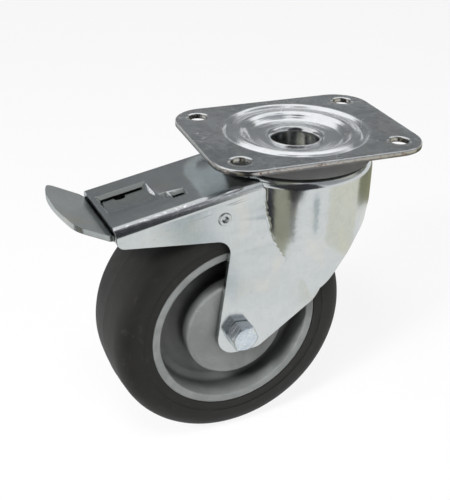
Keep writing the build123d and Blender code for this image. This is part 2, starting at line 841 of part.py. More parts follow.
pivots_turned = turned(pivot_rivets.part, "pivot_rivets")
export_step(pivots_turned, "parts/pivot_rivets.step")

# Axle bolt: hexagon head on the near leg, shank through both legs and the nut
near_leg = Plane(origin=(-trail, -leg_half_width, axle_z), x_dir=(1, 0, 0), z_dir=(0, -1, 0))
far_leg = Plane(origin=(-trail, leg_half_width, axle_z), x_dir=(1, 0, 0), z_dir=(0, 1, 0))
hex_corner_radius = hex_across_flats / sqrt(3)
with BuildPart() as axle_bolt:
    with BuildSketch(near_leg):
        Circle(hex_across_flats / 2)
    extrude(amount=washer_face_height)
    with BuildSketch(near_leg.offset(washer_face_height)):
        RegularPolygon(hex_across_flats / 2, 6, major_radius=False, rotation=hex_turn)
    extrude(amount=bolt_head_height - washer_face_height)
    with BuildSketch(Plane(origin=(-trail, 0, axle_z), x_dir=(0, -1, 0), z_dir=(-1, 0, 0))):
        with BuildLine():
            chamfer_run = hex_corner_radius - bolt_face_radius
            head_face = leg_half_width + bolt_head_height
            Polyline(
                (head_face + 1, bolt_face_radius),
                (head_face, bolt_face_radius),
                (head_face - chamfer_run * tan(radians(30)), hex_corner_radius),
                (head_face - chamfer_run * tan(radians(30)), hex_corner_radius + 2),
                (head_face + 1, hex_corner_radius + 2),
                close=True,
            )
        make_face()
    revolve(axis=wheel_axis, mode=Mode.SUBTRACT)
    with BuildSketch(near_leg):
        Circle(axle_radius)
    extrude(amount=-(2 * leg_half_width + nut_height + bolt_overhang))
    chamfer(axle_bolt.faces().sort_by(Axis.Y)[-1].edges(), bolt_end_chamfer)
bolt_turned = turned(axle_bolt.part, "axle_bolt")
export_step(bolt_turned, "parts/axle_bolt.step")

# Axle nut: hexagon with a round locking collar
with BuildPart() as axle_nut:
    with BuildSketch(far_leg):
        RegularPolygon(hex_across_flats / 2, 6, major_radius=False)
    extrude(amount=nut_height - nut_collar)
    with BuildSketch(far_leg.offset(nut_height - nut_collar)):
        Circle(hex_across_flats / 2 - nut_collar_inset)
    extrude(amount=nut_collar)
    with BuildSketch(far_leg):
        Circle(axle_radius + running_fit)
    extrude(amount=nut_height, mode=Mode.SUBTRACT)
nut_turned = turned(axle_nut.part, "axle_nut")
export_step(nut_turned, "parts/axle_nut.step")

# Axle sleeve: tube clamped between the legs by the bolt
with BuildPart() as axle_sleeve:
    with BuildSketch(near_leg.offset(-fork_sheet)):
        Circle(sleeve_radius)
        Circle(axle_hole_radius, mode=Mode.SUBTRACT)
    extrude(amount=-2 * leg_inner)
sleeve_turned = turned(axle_sleeve.part, "axle_sleeve")
export_step(sleeve_turned, "parts/axle_sleeve.step")

# Leg washers: fill the space between each inner bearing ring and its leg
with BuildPart() as leg_washers:
    with BuildSketch(near_leg.offset(-fork_sheet)):
        Circle(leg_washer_radius)
        Circle(bearing_bore, mode=Mode.SUBTRACT)
    extrude(amount=-leg_washer_length)
    mirror(about=Plane.XZ)
washers_turned = turned(leg_washers.part, "leg_washers")
export_step(washers_turned, "parts/leg_washers.step")

# Bearing spacer: tube between the two inner bearing rings
with BuildPart() as bearing_spacer:
    with BuildSketch(near_leg.offset(bearing_offset - leg_half_width)):
        Circle(leg_washer_radius)
        Circle(bearing_bore, mode=Mode.SUBTRACT)
    extrude(amount=-2 * bearing_offset)
spacer_turned = turned(bearing_spacer.part, "bearing_spacer")
export_step(spacer_turned, "parts/bearing_spacer.step")

# Ball bearings: inner rings on the sleeve, outer rings in the hub, balls between them
ball_track_radius = (bearing_outer_radius + bearing_bore) / 2
bearing_middle = bearing_offset + bearing_width / 2
with BuildPart() as inner_rings:
    with BuildSketch(wheel_section):
        with Locations((bearing_middle, bearing_bore + bearing_ring_wall / 2)):
            Rectangle(bearing_width, bearing_ring_wall)
        with Locations((bearing_middle, ball_track_radius)):
            Circle(bearing_ball_radius + ball_play, mode=Mode.SUBTRACT)
    revolve(axis=wheel_axis)
    mirror(about=Plane.XZ)
inner_turned = turned(inner_rings.part, "bearing_inner_rings")
export_step(inner_turned, "parts/bearing_inner_rings.step")

with BuildPart() as outer_rings:
    with BuildSketch(wheel_section):
        with Locations((bearing_middle, bearing_outer_radius - bearing_ring_wall / 2)):
            Rectangle(bearing_width, bearing_ring_wall)
        with Locations((bearing_middle, ball_track_radius)):
            Circle(bearing_ball_radius + ball_play, mode=Mode.SUBTRACT)
    revolve(axis=wheel_axis)
    mirror(about=Plane.XZ)
outer_turned = turned(outer_rings.part, "bearing_outer_rings")
export_step(outer_turned, "parts/bearing_outer_rings.step")

with BuildPart(near_leg.offset(bearing_middle - leg_half_width)) as bearing_balls:
    with PolarLocations(ball_track_radius, bearing_ball_count):
        Sphere(bearing_ball_radius)
    mirror(about=Plane.XZ)
balls_turned = turned(bearing_balls.part, "bearing_balls")
export_step(balls_turned, "parts/bearing_balls.step")

# Wheel centre: rim with a middle rib, web and hub, moulded in one
hub_radius = cap_radius - cap_wall - running_fit
hub_half_width = cap_face - cap_wall - running_fit
with BuildPart() as wheel_body:
    with BuildSketch(wheel_section) as rim_section:
        with BuildLine():
            Polyline(
                (0, rim_radius - rim_wall),
                (rim_half_width, rim_radius - rim_wall),
                (rim_half_width, rim_radius),
                (rim_rib_half_width, rim_radius),
                (rim_rib_half_width, rim_rib_radius),
                (0, rim_rib_radius),
                close=True,
            )
        make_face()
    with BuildSketch(wheel_section):
        with Locations((0, (rim_radius - rim_wall / 2 + hub_radius) / 2)):
            Rectangle(2 * web_half_thickness, rim_radius - rim_wall / 2 - hub_radius + 4)
    with BuildSketch(wheel_section):
        with Locations((hub_half_width / 2, (hub_radius + bearing_outer_radius) / 2)):
            Rectangle(hub_half_width, hub_radius - bearing_outer_radius)
        with Locations((bearing_offset / 2, bearing_outer_radius - 1)):
            Rectangle(bearing_offset, 2)
    revolve(axis=wheel_axis)
    mirror(about=Plane.XZ)
    web_corners = (
        wheel_body.edges()
        .filter_by(GeomType.CIRCLE)
        .filter_by(lambda edge: abs(abs(edge.center().Y) - web_half_thickness) < 0.01)
    )
    web_span = rim_radius - rim_wall - hub_radius
    fillet(web_corners, min(web_fillet, web_span / 3))
    rim_corners = (
        wheel_body.edges()
        .filter_by(GeomType.CIRCLE)
        .filter_by(lambda edge: abs(abs(edge.center().Y) - rim_half_width) < 0.01)
    )
    fillet(rim_corners.filter_by(lambda edge: edge.radius < rim_radius - 1), rim_edge)
centre_turned = turned(wheel_body.part, "wheel_centre")
export_step(centre_turned, "parts/wheel_centre.step")

# Hub caps: smooth cups over the bearings, one on each side
with BuildPart() as near_cap:
    with BuildSketch(wheel_section):
        with BuildLine():
            Polyline(
                (-cap_face, cap_hole_radius),
                (-cap_face, cap_radius - cap_rounding),
            )
            RadiusArc(
                (-cap_face, cap_radius - cap_rounding),
                (-cap_face + cap_rounding, cap_radius),
                cap_rounding,
            )
            Polyline(
                (-cap_face + cap_rounding, cap_radius),
                (-cap_face + cap_depth, cap_radius),
                (-cap_face + cap_depth, cap_radius - cap_wall),
                (-cap_face + cap_wall, cap_radius - cap_wall),
                (-cap_face + cap_wall, cap_hole_radius),
                (-cap_face, cap_hole_radius),
            )
        make_face()
    revolve(axis=wheel_axis)
near_cap_turned = turned(near_cap.part, "hub_cap_near")
export_step(near_cap_turned, "parts/hub_cap_near.step")
far_cap_turned = turned(near_cap.part.mirror(Plane.XZ), "hub_cap_far")
export_step(far_cap_turned, "parts/hub_cap_far.step")

# Tyre: rubber moulded round the rim, with a stepped bead, round shoulders and a low crown
with BuildPart() as tyre:
    with BuildSketch(wheel_section):
        with BuildLine():
            shoulder_y = tyre_half_width - tyre_shoulder
            Polyline(
                (0, rim_rib_radius),
                (rim_rib_half_width, rim_rib_radius),
                (rim_rib_half_width, rim_radius),
                (tyre_half_width - tyre_bead_step, rim_radius),
                (tyre_half_width - tyre_bead_step, rim_radius + tyre_bead_height),
                (tyre_half_width, rim_radius + tyre_bead_height + tyre_bead_step),
                (tyre_half_width, wheel_radius - tyre_crown_drop - tyre_shoulder),
            )
            RadiusArc(
                (tyre_half_width, wheel_radius - tyre_crown_drop - tyre_shoulder),
                (shoulder_y, wheel_radius - tyre_crown_drop),
                -tyre_shoulder,
            )
            Spline(
                (shoulder_y, wheel_radius - tyre_crown_drop),
                (0, wheel_radius),
                tangents=[(-1, 0.12), (-1, 0)],
            )
            Line((0, wheel_radius), (0, rim_rib_radius))
        make_face()
    revolve(axis=wheel_axis)
    mirror(about=Plane.XZ)
tyre_turned = turned(tyre.part, "tyre")
export_step(tyre_turned, "parts/tyre.step")
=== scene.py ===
"""Swivel castor with a total-lock brake: finishes, wheel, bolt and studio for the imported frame."""

import math

import bmesh
import bpy
import numpy as np
from mathutils import Matrix, Vector


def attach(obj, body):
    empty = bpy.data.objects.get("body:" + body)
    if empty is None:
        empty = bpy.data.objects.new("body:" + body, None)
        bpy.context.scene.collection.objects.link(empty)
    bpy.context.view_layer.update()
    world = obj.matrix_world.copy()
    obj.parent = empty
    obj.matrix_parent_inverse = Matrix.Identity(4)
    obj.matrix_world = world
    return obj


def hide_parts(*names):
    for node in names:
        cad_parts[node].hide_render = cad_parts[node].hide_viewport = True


bl_info = {
    "name": "Swivel Castor",
    "version": (1, 0, 0),
    "blender": (4, 5, 0),
    "location": "View3D > Sidebar > Castor",
    "description": "Builds the wheel and fasteners of a swivel castor and finishes its pressed steel",
    "category": "Object",
}

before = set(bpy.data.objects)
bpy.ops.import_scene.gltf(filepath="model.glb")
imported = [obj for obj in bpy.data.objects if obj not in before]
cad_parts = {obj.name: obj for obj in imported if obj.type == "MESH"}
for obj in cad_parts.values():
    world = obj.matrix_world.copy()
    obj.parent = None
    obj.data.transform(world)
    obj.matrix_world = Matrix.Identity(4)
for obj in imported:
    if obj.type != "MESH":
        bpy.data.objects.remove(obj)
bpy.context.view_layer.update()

TURN = 2 * math.pi
MM = 0.001

# The castor's own measures, in millimetres in the fork's frame. Profiles further down use the same.
SWIVEL_REST = math.radians(4.5)
AXLE_PLACE = (-40.0, 0.0, -92.5)
FLOOR_Z = -155.0
HEX_ROUNDING = 60
HEX_CHAMFER = math.tan(math.radians(30))
BOLT_TURN = math.radians(-8.0)
BOLT_FACE = -32.4
BOLT_FACE_RADIUS = 5.7
BOLT_GROOVE = -28.6
BOLT_RADIUS = 4.0
BOLT_STEPS = 180
THREAD_ENDS = (34.6, 25.2)
THREAD_PITCH = 1.25
THREAD_DEPTH = 0.6
THREAD_STEPS = 10
NUT_BASE, NUT_TOP = 25.02, 31.0
FORK_EDGE = (
    (40, -30),
    (28.5, -34.5),
    (25, -41.5),
    (19.3, -47.7),
    (14.9, -54.8),
    (10.8, -62.2),
    (7.5, -70.9),
    (3.9, -79.5),
    (0.2, -84.5),
)
CUTTER_FRONT = 60.0
CUTTER_SIDE = 50.0
CUTTER_BELOW = 5

# How close vertices lie that are joined, in metres: in a grid's closed ends and in the CAD meshes
JOIN_GRID = 1e-7
JOIN_CAD = 2e-6

# Where press marks and wear lie on the plate and the fork, in metres. A pair is where a fade starts and ends.
PLATE_HOLE = (0.04, 0.03, 0.0)
HOLE_DIP = (0.0043, 0.0062)
RING_FADE = (0.034, 0.037)
FLANK_FADE = (0.027, 0.036)
POLISH_FADE = (0.035, 0.038)
SHEARED_BEYOND = 0.038
TEAR_FADE = (-0.0014, -0.0008)
HOUSING_FADE = (0.03, 0.042)
BEND_BEYOND = 0.019
POCKET_WITHIN = 0.018
POCKET_FADE = (0.05, 0.055)
ROOF_SLOPE = 0.161
STREAK_FADE = (-0.022, -0.014)
# How far the ambient occlusion that paints shade into moulded hollows reaches, in metres
PAINTED_SHADE_REACH = 0.03

# How deep each kind of relief is, in metres
PLATING_RELIEF = 0.0004
MOULDED_RELIEF = 0.0003
PRESSED_RELIEF = 0.0007

# Tones of wear, dirt and bare steel, and the black of the painted shade in hollows
PIT_TONE = (0.12, 0.12, 0.13, 1)
SCRATCH_TONE = (0.95, 0.95, 0.95, 1)
POLISH_TONE = (0.93, 0.95, 0.97, 1)
TORN_TONE = (0.16, 0.16, 0.16, 1)
SHEARED_TONE = (0.4, 0.39, 0.37, 1)
RUST_TONE = (0.17, 0.115, 0.09, 1)
DIE_TONE = (0.58, 0.59, 0.62, 1)
DIE_SPECK_TONE = (0.95, 0.95, 0.97, 1)
SLIT_TONE = (0.26, 0.28, 0.27, 1)
STREAK_TONE = (0.2, 0.22, 0.25, 1)
# The black of the painted shade in moulded hollows
PAINTED_SHADE_TONE = (0.01, 0.01, 0.01, 1)
PLATE_TINT = (0.6, 0.52, 0.45)
PLASTIC_SCUFF = (0.36, 0.37, 0.36)

# The studio, in metres. Lamps are name, place, size and share of the key setting.
FLOOR_SIZE = 60.0
SENSOR_WIDTH = 36.0
LAMP_AIM = (-0.03, 0, -0.07)
LAMPS = (
    ("key", (-0.8, -0.5, 0.62), 0.22, 0.8),
    ("fill", (0.7, -0.7, 0.3), 0.7, 0.1),
    ("top", (-0.3, -0.42, 0.95), 0.35, 0.55),
)

# Cards that the metal reflects: name, near edge, far edge, near tone and far tone. An edge is its bearings in degrees,
# its distance from the swivel axis and its height. LOW is just over the floor.
LOW = -0.153
WALL = 1.3
CARD_STEPS = (24, 9)
CARDS = (
    ("far_wall", ((-20, 150), WALL, 0.28), ((-20, 150), WALL, 0.97), (0.18, 0.19, 0.195), (0.17, 0.178, 0.185)),
    ("far_foot", ((40, 90), WALL, -0.15), ((40, 90), WALL, 0.16), (0.28, 0.28, 0.28), (0.28, 0.28, 0.28)),
    ("near_floor", ((-119, -101), 0.31, LOW), ((-146, -72), 0.8, 0.0), (0.03, 0.03, 0.035), (0.04, 0.04, 0.045)),
    ("near_low", ((-146, -72), 0.8, 0.0), ((-152, -74), 0.9, 0.5), (0.05, 0.05, 0.055), (0.05, 0.05, 0.055)),
    ("near_high", ((-152, -74), 0.9, 0.5), ((-165, -92), 0.06, 1.3), (0.05, 0.05, 0.055), (0.04, 0.04, 0.045)),
    ("roof_patch", ((73, 96), 1.27, 0.56), ((73, 96), 1.27, 0.88), (0.22, 0.225, 0.235), (0.22, 0.225, 0.235)),
    ("far_gap", ((76, 100), WALL, 0.0), ((76, 100), WALL, 0.28), (0.24, 0.24, 0.24), (0.22, 0.22, 0.22)),
    ("right_wall", ((-66, -8), WALL, 0.3), ((-86, 20), 0.3, 1.25), (0.5, 0.51, 0.53), (0.25, 0.26, 0.28)),
    ("far_floor", ((45, 135), 0.12, LOW), ((45, 135), 0.7, LOW), (0.5, 0.55, 0.57), (0.6, 0.63, 0.65)),
    ("left_strip", ((-165, -146), 0.11, LOW), ((-165, -139), 0.17, LOW), (0.05, 0.045, 0.06), (0.035, 0.033, 0.045)),
    ("left_far", ((-165, -139), 0.17, LOW), ((-165, -139), 0.5, LOW), (0.035, 0.033, 0.045), (0.035, 0.033, 0.045)),
    ("olive_tip", ((-150, -137), 0.058, LOW), ((-146, -119), 0.11, LOW), (0.6, 0.62, 0.5), (0.4, 0.4, 0.3)),
    ("olive_strip", ((-146, -119), 0.11, LOW), ((-139, -117), 0.17, LOW), (0.4, 0.4, 0.3), (0.42, 0.42, 0.33)),
    ("olive_far", ((-139, -117), 0.17, LOW), ((-139, -117), 0.6, LOW), (0.42, 0.42, 0.33), (0.42, 0.42, 0.33)),
    ("middle_strip", ((-119, -112), 0.11, LOW), ((-117, -104), 0.31, LOW), (0.45, 0.45, 0.43), (0.03, 0.03, 0.04)),
    ("right_strip", ((-84, -77), 0.15, LOW), ((-84, -77), 0.32, LOW), (0.6, 0.66, 0.68), (0.42, 0.48, 0.5)),
    ("cream_strip", ((-62, -8), 0.13, LOW), ((-62, -8), 0.7, LOW), (0.9, 0.89, 0.8), (0.92, 0.89, 0.74)),
    ("side_strip", ((-8, 50), 0.26, LOW), ((-8, 50), 0.9, LOW), (0.3, 0.3, 0.2), (0.2, 0.2, 0.14)),
)


# Shapes worked out as grids


def fork_side(points):
    """Points in millimetres in the fork's frame, turned by the resting swivel angle into the row frame, in metres."""
    c, s = math.cos(SWIVEL_REST), math.sin(SWIVEL_REST)
    turn = np.array([[c, s, 0], [-s, c, 0], [0, 0, 1]])
    return (points @ turn) * MM


def about_axle(points):
    """Points measured from the wheel's centre, moved to the axle and turned with the fork."""
    return fork_side(points + np.array(AXLE_PLACE))


def join_corners(mesh, distance):
    """Joins vertices of a mesh that lie within a distance of each other."""
    joined = bmesh.new()
    joined.from_mesh(mesh)
    bmesh.ops.remove_doubles(joined, verts=joined.verts, dist=distance)
    joined.to_mesh(mesh)
    joined.free()


def grid_mesh(name, points, close_rows=False, close_columns=False):
    """A surface through a rows x columns grid of points: one quad between neighbours, wrapped where a side is closed.
    A closed surface whose signed volume, the sum of p0 . (p1 x p2) over its triangles, is negative is turned over."""
    rows, columns = points.shape[:2]
    i = np.arange(rows if close_rows else rows - 1)
    j = np.arange(columns if close_columns else columns - 1)
    i, j = np.meshgrid(i, j, indexing="ij")
    i2, j2 = (i + 1) % rows, (j + 1) % columns
    quads = np.stack([i * columns + j, i2 * columns + j, i2 * columns + j2, i * columns + j2], -1).reshape(-1, 4)
    if close_columns:
        a, b, c, d = points.reshape(-1, 3)[quads].transpose(1, 0, 2)
        if (a * np.cross(b, c) + a * np.cross(c, d)).sum() < 0:
            quads = quads[:, ::-1]
    mesh = bpy.data.meshes.new(name)
    mesh.vertices.add(rows * columns)
    mesh.vertices.foreach_set("co", points.reshape(-1).astype(np.float32))
    mesh.loops.add(quads.size)
    mesh.loops.foreach_set("vertex_index", quads.reshape(-1).astype(np.int32))
    mesh.polygons.add(len(quads))
    mesh.polygons.foreach_set("loop_start", np.arange(0, quads.size, 4, dtype=np.int32))
    mesh.update(calc_edges=True)
    if close_columns:
        join_corners(mesh, JOIN_GRID)
    mesh.validate()
    mesh.shade_smooth()
    return mesh


def new_piece(name, mesh, body, node, material, sharp=40.0):
    """An object for a mesh, riding on a body in place of a CAD node."""
    mesh.set_sharp_from_angle(angle=math.radians(sharp))
    piece = bpy.data.objects.new(name, mesh)
    bpy.context.scene.collection.objects.link(piece)
    mesh.materials.append(material)
    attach(piece, body)
    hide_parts(node)
    return piece


def merged_copy(name):
    """A CAD node's mesh with its corners joined, so that a modifier can work on it."""
    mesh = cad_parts[name].data.copy()
    join_corners(mesh, JOIN_CAD)
    return mesh


def smooth_line(points, steps=6):
    """A curve through the points: between two of them, half the sum of the cubic terms of the four nearest points."""
    points = np.array(points, float)
    padded = np.concatenate([2 * points[:1] - points[1:2], points, 2 * points[-1:] - points[-2:-1]])
    a, b, c, d = padded[:-3, None], padded[1:-2, None], padded[2:-1, None], padded[3:, None]
    t = np.linspace(0, 1, steps, endpoint=False)[None, :, None]
    curve = 0.5 * (2 * b + (c - a) * t + (2 * a - 5 * b + 4 * c - d) * t**2 + (3 * b - a - 3 * c + d) * t**3)
    return np.concatenate([curve.reshape(-1, 2), points[-1:]])


def front_cutter():
    """The space in front of the fork's legs: the smooth line through FORK_EDGE, closed far in front of it, is carried
    straight across the fork. Each end is closed by a fan from the outline to its middle."""
    edge = smooth_line(FORK_EDGE)
    below = edge[-1, 1] - CUTTER_BELOW
    outline = np.concatenate([edge, [[edge[-1, 0], below], [CUTTER_FRONT, below], [CUTTER_FRONT, edge[0, 1]]]])
    x, z = outline.T
    sides = [np.stack([x, 0 * x + y, z], -1) for y in (-CUTTER_SIDE, CUTTER_SIDE)]
    middles = [np.broadcast_to(side.mean(0), side.shape) for side in sides]
    return grid_mesh("front_cutter", fork_side(np.stack([middles[0], *sides, middles[1]])), close_columns=True)


def cut_away(mesh, cutter_mesh, name):
    """The mesh with the cutter's space taken out of it."""
    body = bpy.data.objects.new(name, mesh)
    cutter = bpy.data.objects.new(name + "_cutter", cutter_mesh)
    for made in (body, cutter):
        bpy.context.scene.collection.objects.link(made)
    cut = body.modifiers.new("cut", "BOOLEAN")
    cut.operation = "DIFFERENCE"
    cut.solver = "EXACT"
    cut.object = cutter
    result = bpy.data.meshes.new_from_object(body.evaluated_get(bpy.context.evaluated_depsgraph_get()))
    for made in (body, cutter):
        bpy.data.objects.remove(made)
    return result


def rounded(corners, steps=6):
    """A closed profile from (y, r, rounding) corners: each corner becomes an arc tangent to both of its sides."""
    corners = np.array(corners, float)
    points, radii = corners[:, :2], corners[:, 2]
    profile = []
    for k in range(len(points)):
        before, here, after = points[k - 1], points[k], points[(k + 1) % len(points)]
        radius = radii[k]
        if radius <= 0:
            profile.append(here[None])
            continue
        u = (before - here) / np.linalg.norm(before - here)
        v = (after - here) / np.linalg.norm(after - here)
        half = math.acos(float(np.clip(u @ v, -1, 1))) / 2
        reach = radius / math.tan(half)
        middle = here + (u + v) / np.linalg.norm(u + v) * radius / math.sin(half)
        start, end = here + u * reach - middle, here + v * reach - middle
        sweep = math.pi - 2 * half
        t = np.linspace(0, 1, steps)[:, None]
        profile.append(middle + (np.sin((1 - t) * sweep) * start + np.sin(t * sweep) * end) / math.sin(sweep))
    return np.concatenate(profile)


def mirrored(corners):
    """Corners on the wheel's other side, in the order that carries a profile on."""
    return [(-y, r, fillet) for y, r, fillet in reversed(corners)]


def wheel_ring(name, corners, segments, steps=6):
    """A rounded profile of (y, r) carried round the axle: x = r cos t, z = r sin t."""
    t = np.linspace(0, TURN, segments, endpoint=False)[None, :]
    profile = rounded(corners, steps)
    y, r = profile[:, 0:1] + 0 * t, profile[:, 1:2] + 0 * t
    return grid_mesh(name, about_axle(np.stack([r * np.cos(t), y, r * np.sin(t)], -1)), True, True)


def hexagon(t, across_flats):
    """Distance to a hexagon's flats at angle t, with slightly rounded corners: a high power mean of the six directions.
    One corner is at t = 0."""
    k = (np.arange(6)[:, None] + 0.5) * TURN / 6
    facing = np.clip(np.cos(t[None, :] - k), 0, None)
    return across_flats / 2 / (facing**HEX_ROUNDING).sum(0) ** (1 / HEX_ROUNDING)


def thread(y, t):
    """The bolt's radius at y and t: lowest where y / pitch + t / turn is a whole number, with flat crests halfway."""
    depth = np.abs(((y[:, None] / THREAD_PITCH + t[None, :] / TURN) % 1.0) * 2 - 1)
    return BOLT_RADIUS - THREAD_DEPTH * np.clip(depth * 1.25 - 0.12, 0, 1)


def axle_turned(rows, t):
    """A piece on the axle. rows are (y, r), where each may be a number or an array over the angles t, and a point is
    x = r cos t, z = r sin t."""
    y = np.array([row[0] + 0 * t for row in rows])
    r = np.array([row[1] + 0 * t for row in rows])
    return about_axle(np.stack([r * np.cos(t), y, r * np.sin(t)], -1))


# Shared effects


def effect(name, inputs, outputs):
    """A shader node group. An input's kind follows from its default: a number, a vector of three or a colour of four.
    The output Color is a colour, Normal is a vector, and the others are numbers."""
    tree = bpy.data.node_groups.new(name, "ShaderNodeTree")
    sizes = {3: "NodeSocketVector", 4: "NodeSocketColor"}
    for label, default in inputs.items():
        kind = "NodeSocketFloat" if isinstance(default, float) else sizes[len(default)]
        tree.interface.new_socket(label, in_out="INPUT", socket_type=kind).default_value = default
    kinds = {"Color": "NodeSocketColor", "Normal": "NodeSocketVector"}
    for label in outputs:
        tree.interface.new_socket(label, in_out="OUTPUT", socket_type=kinds.get(label, "NodeSocketFloat"))
    return tree, tree.nodes.new("NodeGroupInput").outputs, tree.nodes.new("NodeGroupOutput")


def link(tree, target, values):
    """Links sockets to the named inputs of a node."""
    for key, value in values.items():
        tree.links.new(value, target.inputs[key])


def node(tree, kind, values=None, **settings):
    """A node with its settings, and its inputs either set to a value or linked from a socket."""
    made = tree.nodes.new(kind)
    for key, value in settings.items():
        setattr(made, key, value)
    for key, value in (values or {}).items():
        if isinstance(value, bpy.types.NodeSocket):
            tree.links.new(value, made.inputs[key])
        else:
            made.inputs[key].default_value = value
    return made


def math_node(tree, operation, first, second=0.0, clamp=False):
    """One arithmetic step, returned as its output socket."""
    return node(tree, "ShaderNodeMath", {0: first, 1: second}, operation=operation, use_clamp=clamp).outputs[0]


def plus(tree, first, second, clamp=False):
    """The sum of two values."""
    return math_node(tree, "ADD", first, second, clamp)


def times(tree, first, *others):
    """The product of two or more values."""
    for other in others:
        first = math_node(tree, "MULTIPLY", first, other)
    return first


def vector_node(tree, operation, *values):
    """One vector step, returned as its output socket: a number for a length or a dot product, otherwise a vector."""
    made = node(tree, "ShaderNodeVectorMath", dict(enumerate(values)), operation=operation)
    return made.outputs["Value" if operation in ("LENGTH", "DOT_PRODUCT") else "Vector"]


def parts(tree, vector):
    """A vector's x, y and z."""
    return node(tree, "ShaderNodeSeparateXYZ", {0: vector}).outputs


def own_place(tree):
    """The point's place in its object's own frame."""
    return node(tree, "ShaderNodeTexCoord").outputs["Object"]


def noise(tree, vector, scale, detail=4.0, roughness=0.55, distortion=0.0):
    """A noise texture's value."""
    values = {"Vector": vector, "Scale": scale, "Detail": detail, "Roughness": roughness, "Distortion": distortion}
    return node(tree, "ShaderNodeTexNoise", values).outputs["Fac"]


def span(tree, value, low, high, out_low=0.0, out_high=1.0):
    """Stretches a value from one range to another, smoothly and held at its ends."""
    values = {"Value": value, 1: low, 2: high, 3: out_low, 4: out_high}
    return node(tree, "ShaderNodeMapRange", values, interpolation_type="SMOOTHSTEP").outputs["Result"]


def fall(tree, value, low, high):
    """1 below low, 0 above high, smooth between them."""
    return span(tree, value, low, high, 1.0, 0.0)


def blend(tree, factor, first, second, mode="MIX"):
    """Two colours mixed by a factor."""
    mix = node(tree, "ShaderNodeMix", data_type="RGBA", blend_type=mode)
    for socket, value in ((mix.inputs["Factor"], factor), (mix.inputs[6], first), (mix.inputs[7], second)):
        if isinstance(value, bpy.types.NodeSocket):
            tree.links.new(value, socket)
        else:
            socket.default_value = value
    return mix.outputs[2]


def colour(value):
    """A three-part colour with full alpha."""
    return (*value[:3], 1.0)


def zinc_effect():
    """Zinc plating: cloudy patches, small crystals, rolling lines, pits and scratches, each changing colour, roughness
    and height."""
    inputs = {
        "Light": (0.6, 0.6, 0.6, 1),
        "Dark": (0.4, 0.4, 0.4, 1),
        "Tint": (0.6, 0.55, 0.4, 1),
        "Tint Amount": 0.3,
        "Cloud Scale": 30.0,
        "Crystal Scale": 900.0,
        "Line Direction": (1.0, 0.06, 1.0),
        "Roughness": 0.3,
        "Unevenness": 0.35,
        "Pits": 0.3,
        "Scratches": 0.3,
    }
    tree, ins, outs = effect("zinc_plating", inputs, ("Color", "Roughness", "Height"))
    place = own_place(tree)
    cloud = noise(tree, place, ins["Cloud Scale"], 5.0, 0.6, 0.4)
    patches = noise(tree, place, times(tree, ins["Cloud Scale"], 9.0), 3.0, 0.65, 0.6)
    crystals = node(tree, "ShaderNodeTexVoronoi", {"Vector": place, "Scale": ins["Crystal Scale"]})
    crystal = node(tree, "ShaderNodeSeparateColor", {0: crystals.outputs["Color"]}).outputs[0]
    stretched = vector_node(tree, "MULTIPLY", place, ins["Line Direction"])
    lines = noise(tree, stretched, 1800.0, 2.0, 0.6)
    patch = plus(tree, times(tree, cloud, 0.5), times(tree, patches, 0.3))
    patch = plus(tree, patch, times(tree, lines, 0.15))
    patch = plus(tree, patch, times(tree, crystal, 0.05))
    base = blend(tree, span(tree, patch, 0.38, 0.62), ins["Dark"], ins["Light"])

    tint_place = noise(tree, vector_node(tree, "ADD", stretched, place), 34.0, 4.0, 0.55, 0.5)
    tint_mask = times(tree, span(tree, tint_place, 0.5, 0.72), ins["Tint Amount"])
    tinted = blend(tree, tint_mask, base, ins["Tint"])

    cells = node(tree, "ShaderNodeTexVoronoi", {"Vector": place, "Scale": 210.0}).outputs
    cell = node(tree, "ShaderNodeSeparateColor", {0: cells["Color"]}).outputs[1]
    chosen = math_node(tree, "LESS_THAN", cell, 0.45)
    pit = times(tree, fall(tree, cells["Distance"], 0.03, 0.07), chosen, ins["Pits"])
    pitted = blend(tree, pit, tinted, PIT_TONE)

    wander = noise(tree, place, 70.0, 1.0, 0.3, 0.8)
    off_line = math_node(tree, "ABSOLUTE", math_node(tree, "SUBTRACT", wander, 0.5))
    kept = span(tree, noise(tree, place, 48.0, 2.0), 0.52, 0.6)
    scratch = times(tree, fall(tree, off_line, 0.001, 0.005), kept, ins["Scratches"])

    uneven = times(tree, math_node(tree, "SUBTRACT", patch, 0.5), ins["Unevenness"])
    uneven = plus(tree, uneven, times(tree, scratch, 0.25))
    relief = plus(tree, times(tree, lines, 0.6), times(tree, crystal, 0.4))
    relief = math_node(tree, "SUBTRACT", relief, times(tree, plus(tree, pit, scratch), 2.0))
    rough = plus(tree, ins["Roughness"], uneven, clamp=True)
    link(tree, outs, {"Color": blend(tree, scratch, pitted, SCRATCH_TONE), "Roughness": rough, "Height": relief})
    return tree


def edge_wear_and_highlight_effect():
    """Rubbed edges with a painted edge highlight: where a rounded normal leaves the true one, broken up by fine noise.
    """
    tree, ins, outs = effect("rubbed_edges_and_highlight", {"Width": 0.0006, "Amount": 0.6}, ("Mask", "Normal"))
    soft = node(tree, "ShaderNodeBevel", {"Radius": ins["Width"]}, samples=4).outputs[0]
    true = node(tree, "ShaderNodeNewGeometry").outputs["Normal"]
    facing = vector_node(tree, "DOT_PRODUCT", soft, true)
    broken = span(tree, noise(tree, own_place(tree), 260.0, 4.0), 0.35, 0.65)
    edge = span(tree, math_node(tree, "SUBTRACT", 1.0, facing), 0.03, 0.3)
    link(tree, outs, {"Mask": times(tree, edge, broken, ins["Amount"]), "Normal": soft})
    return tree


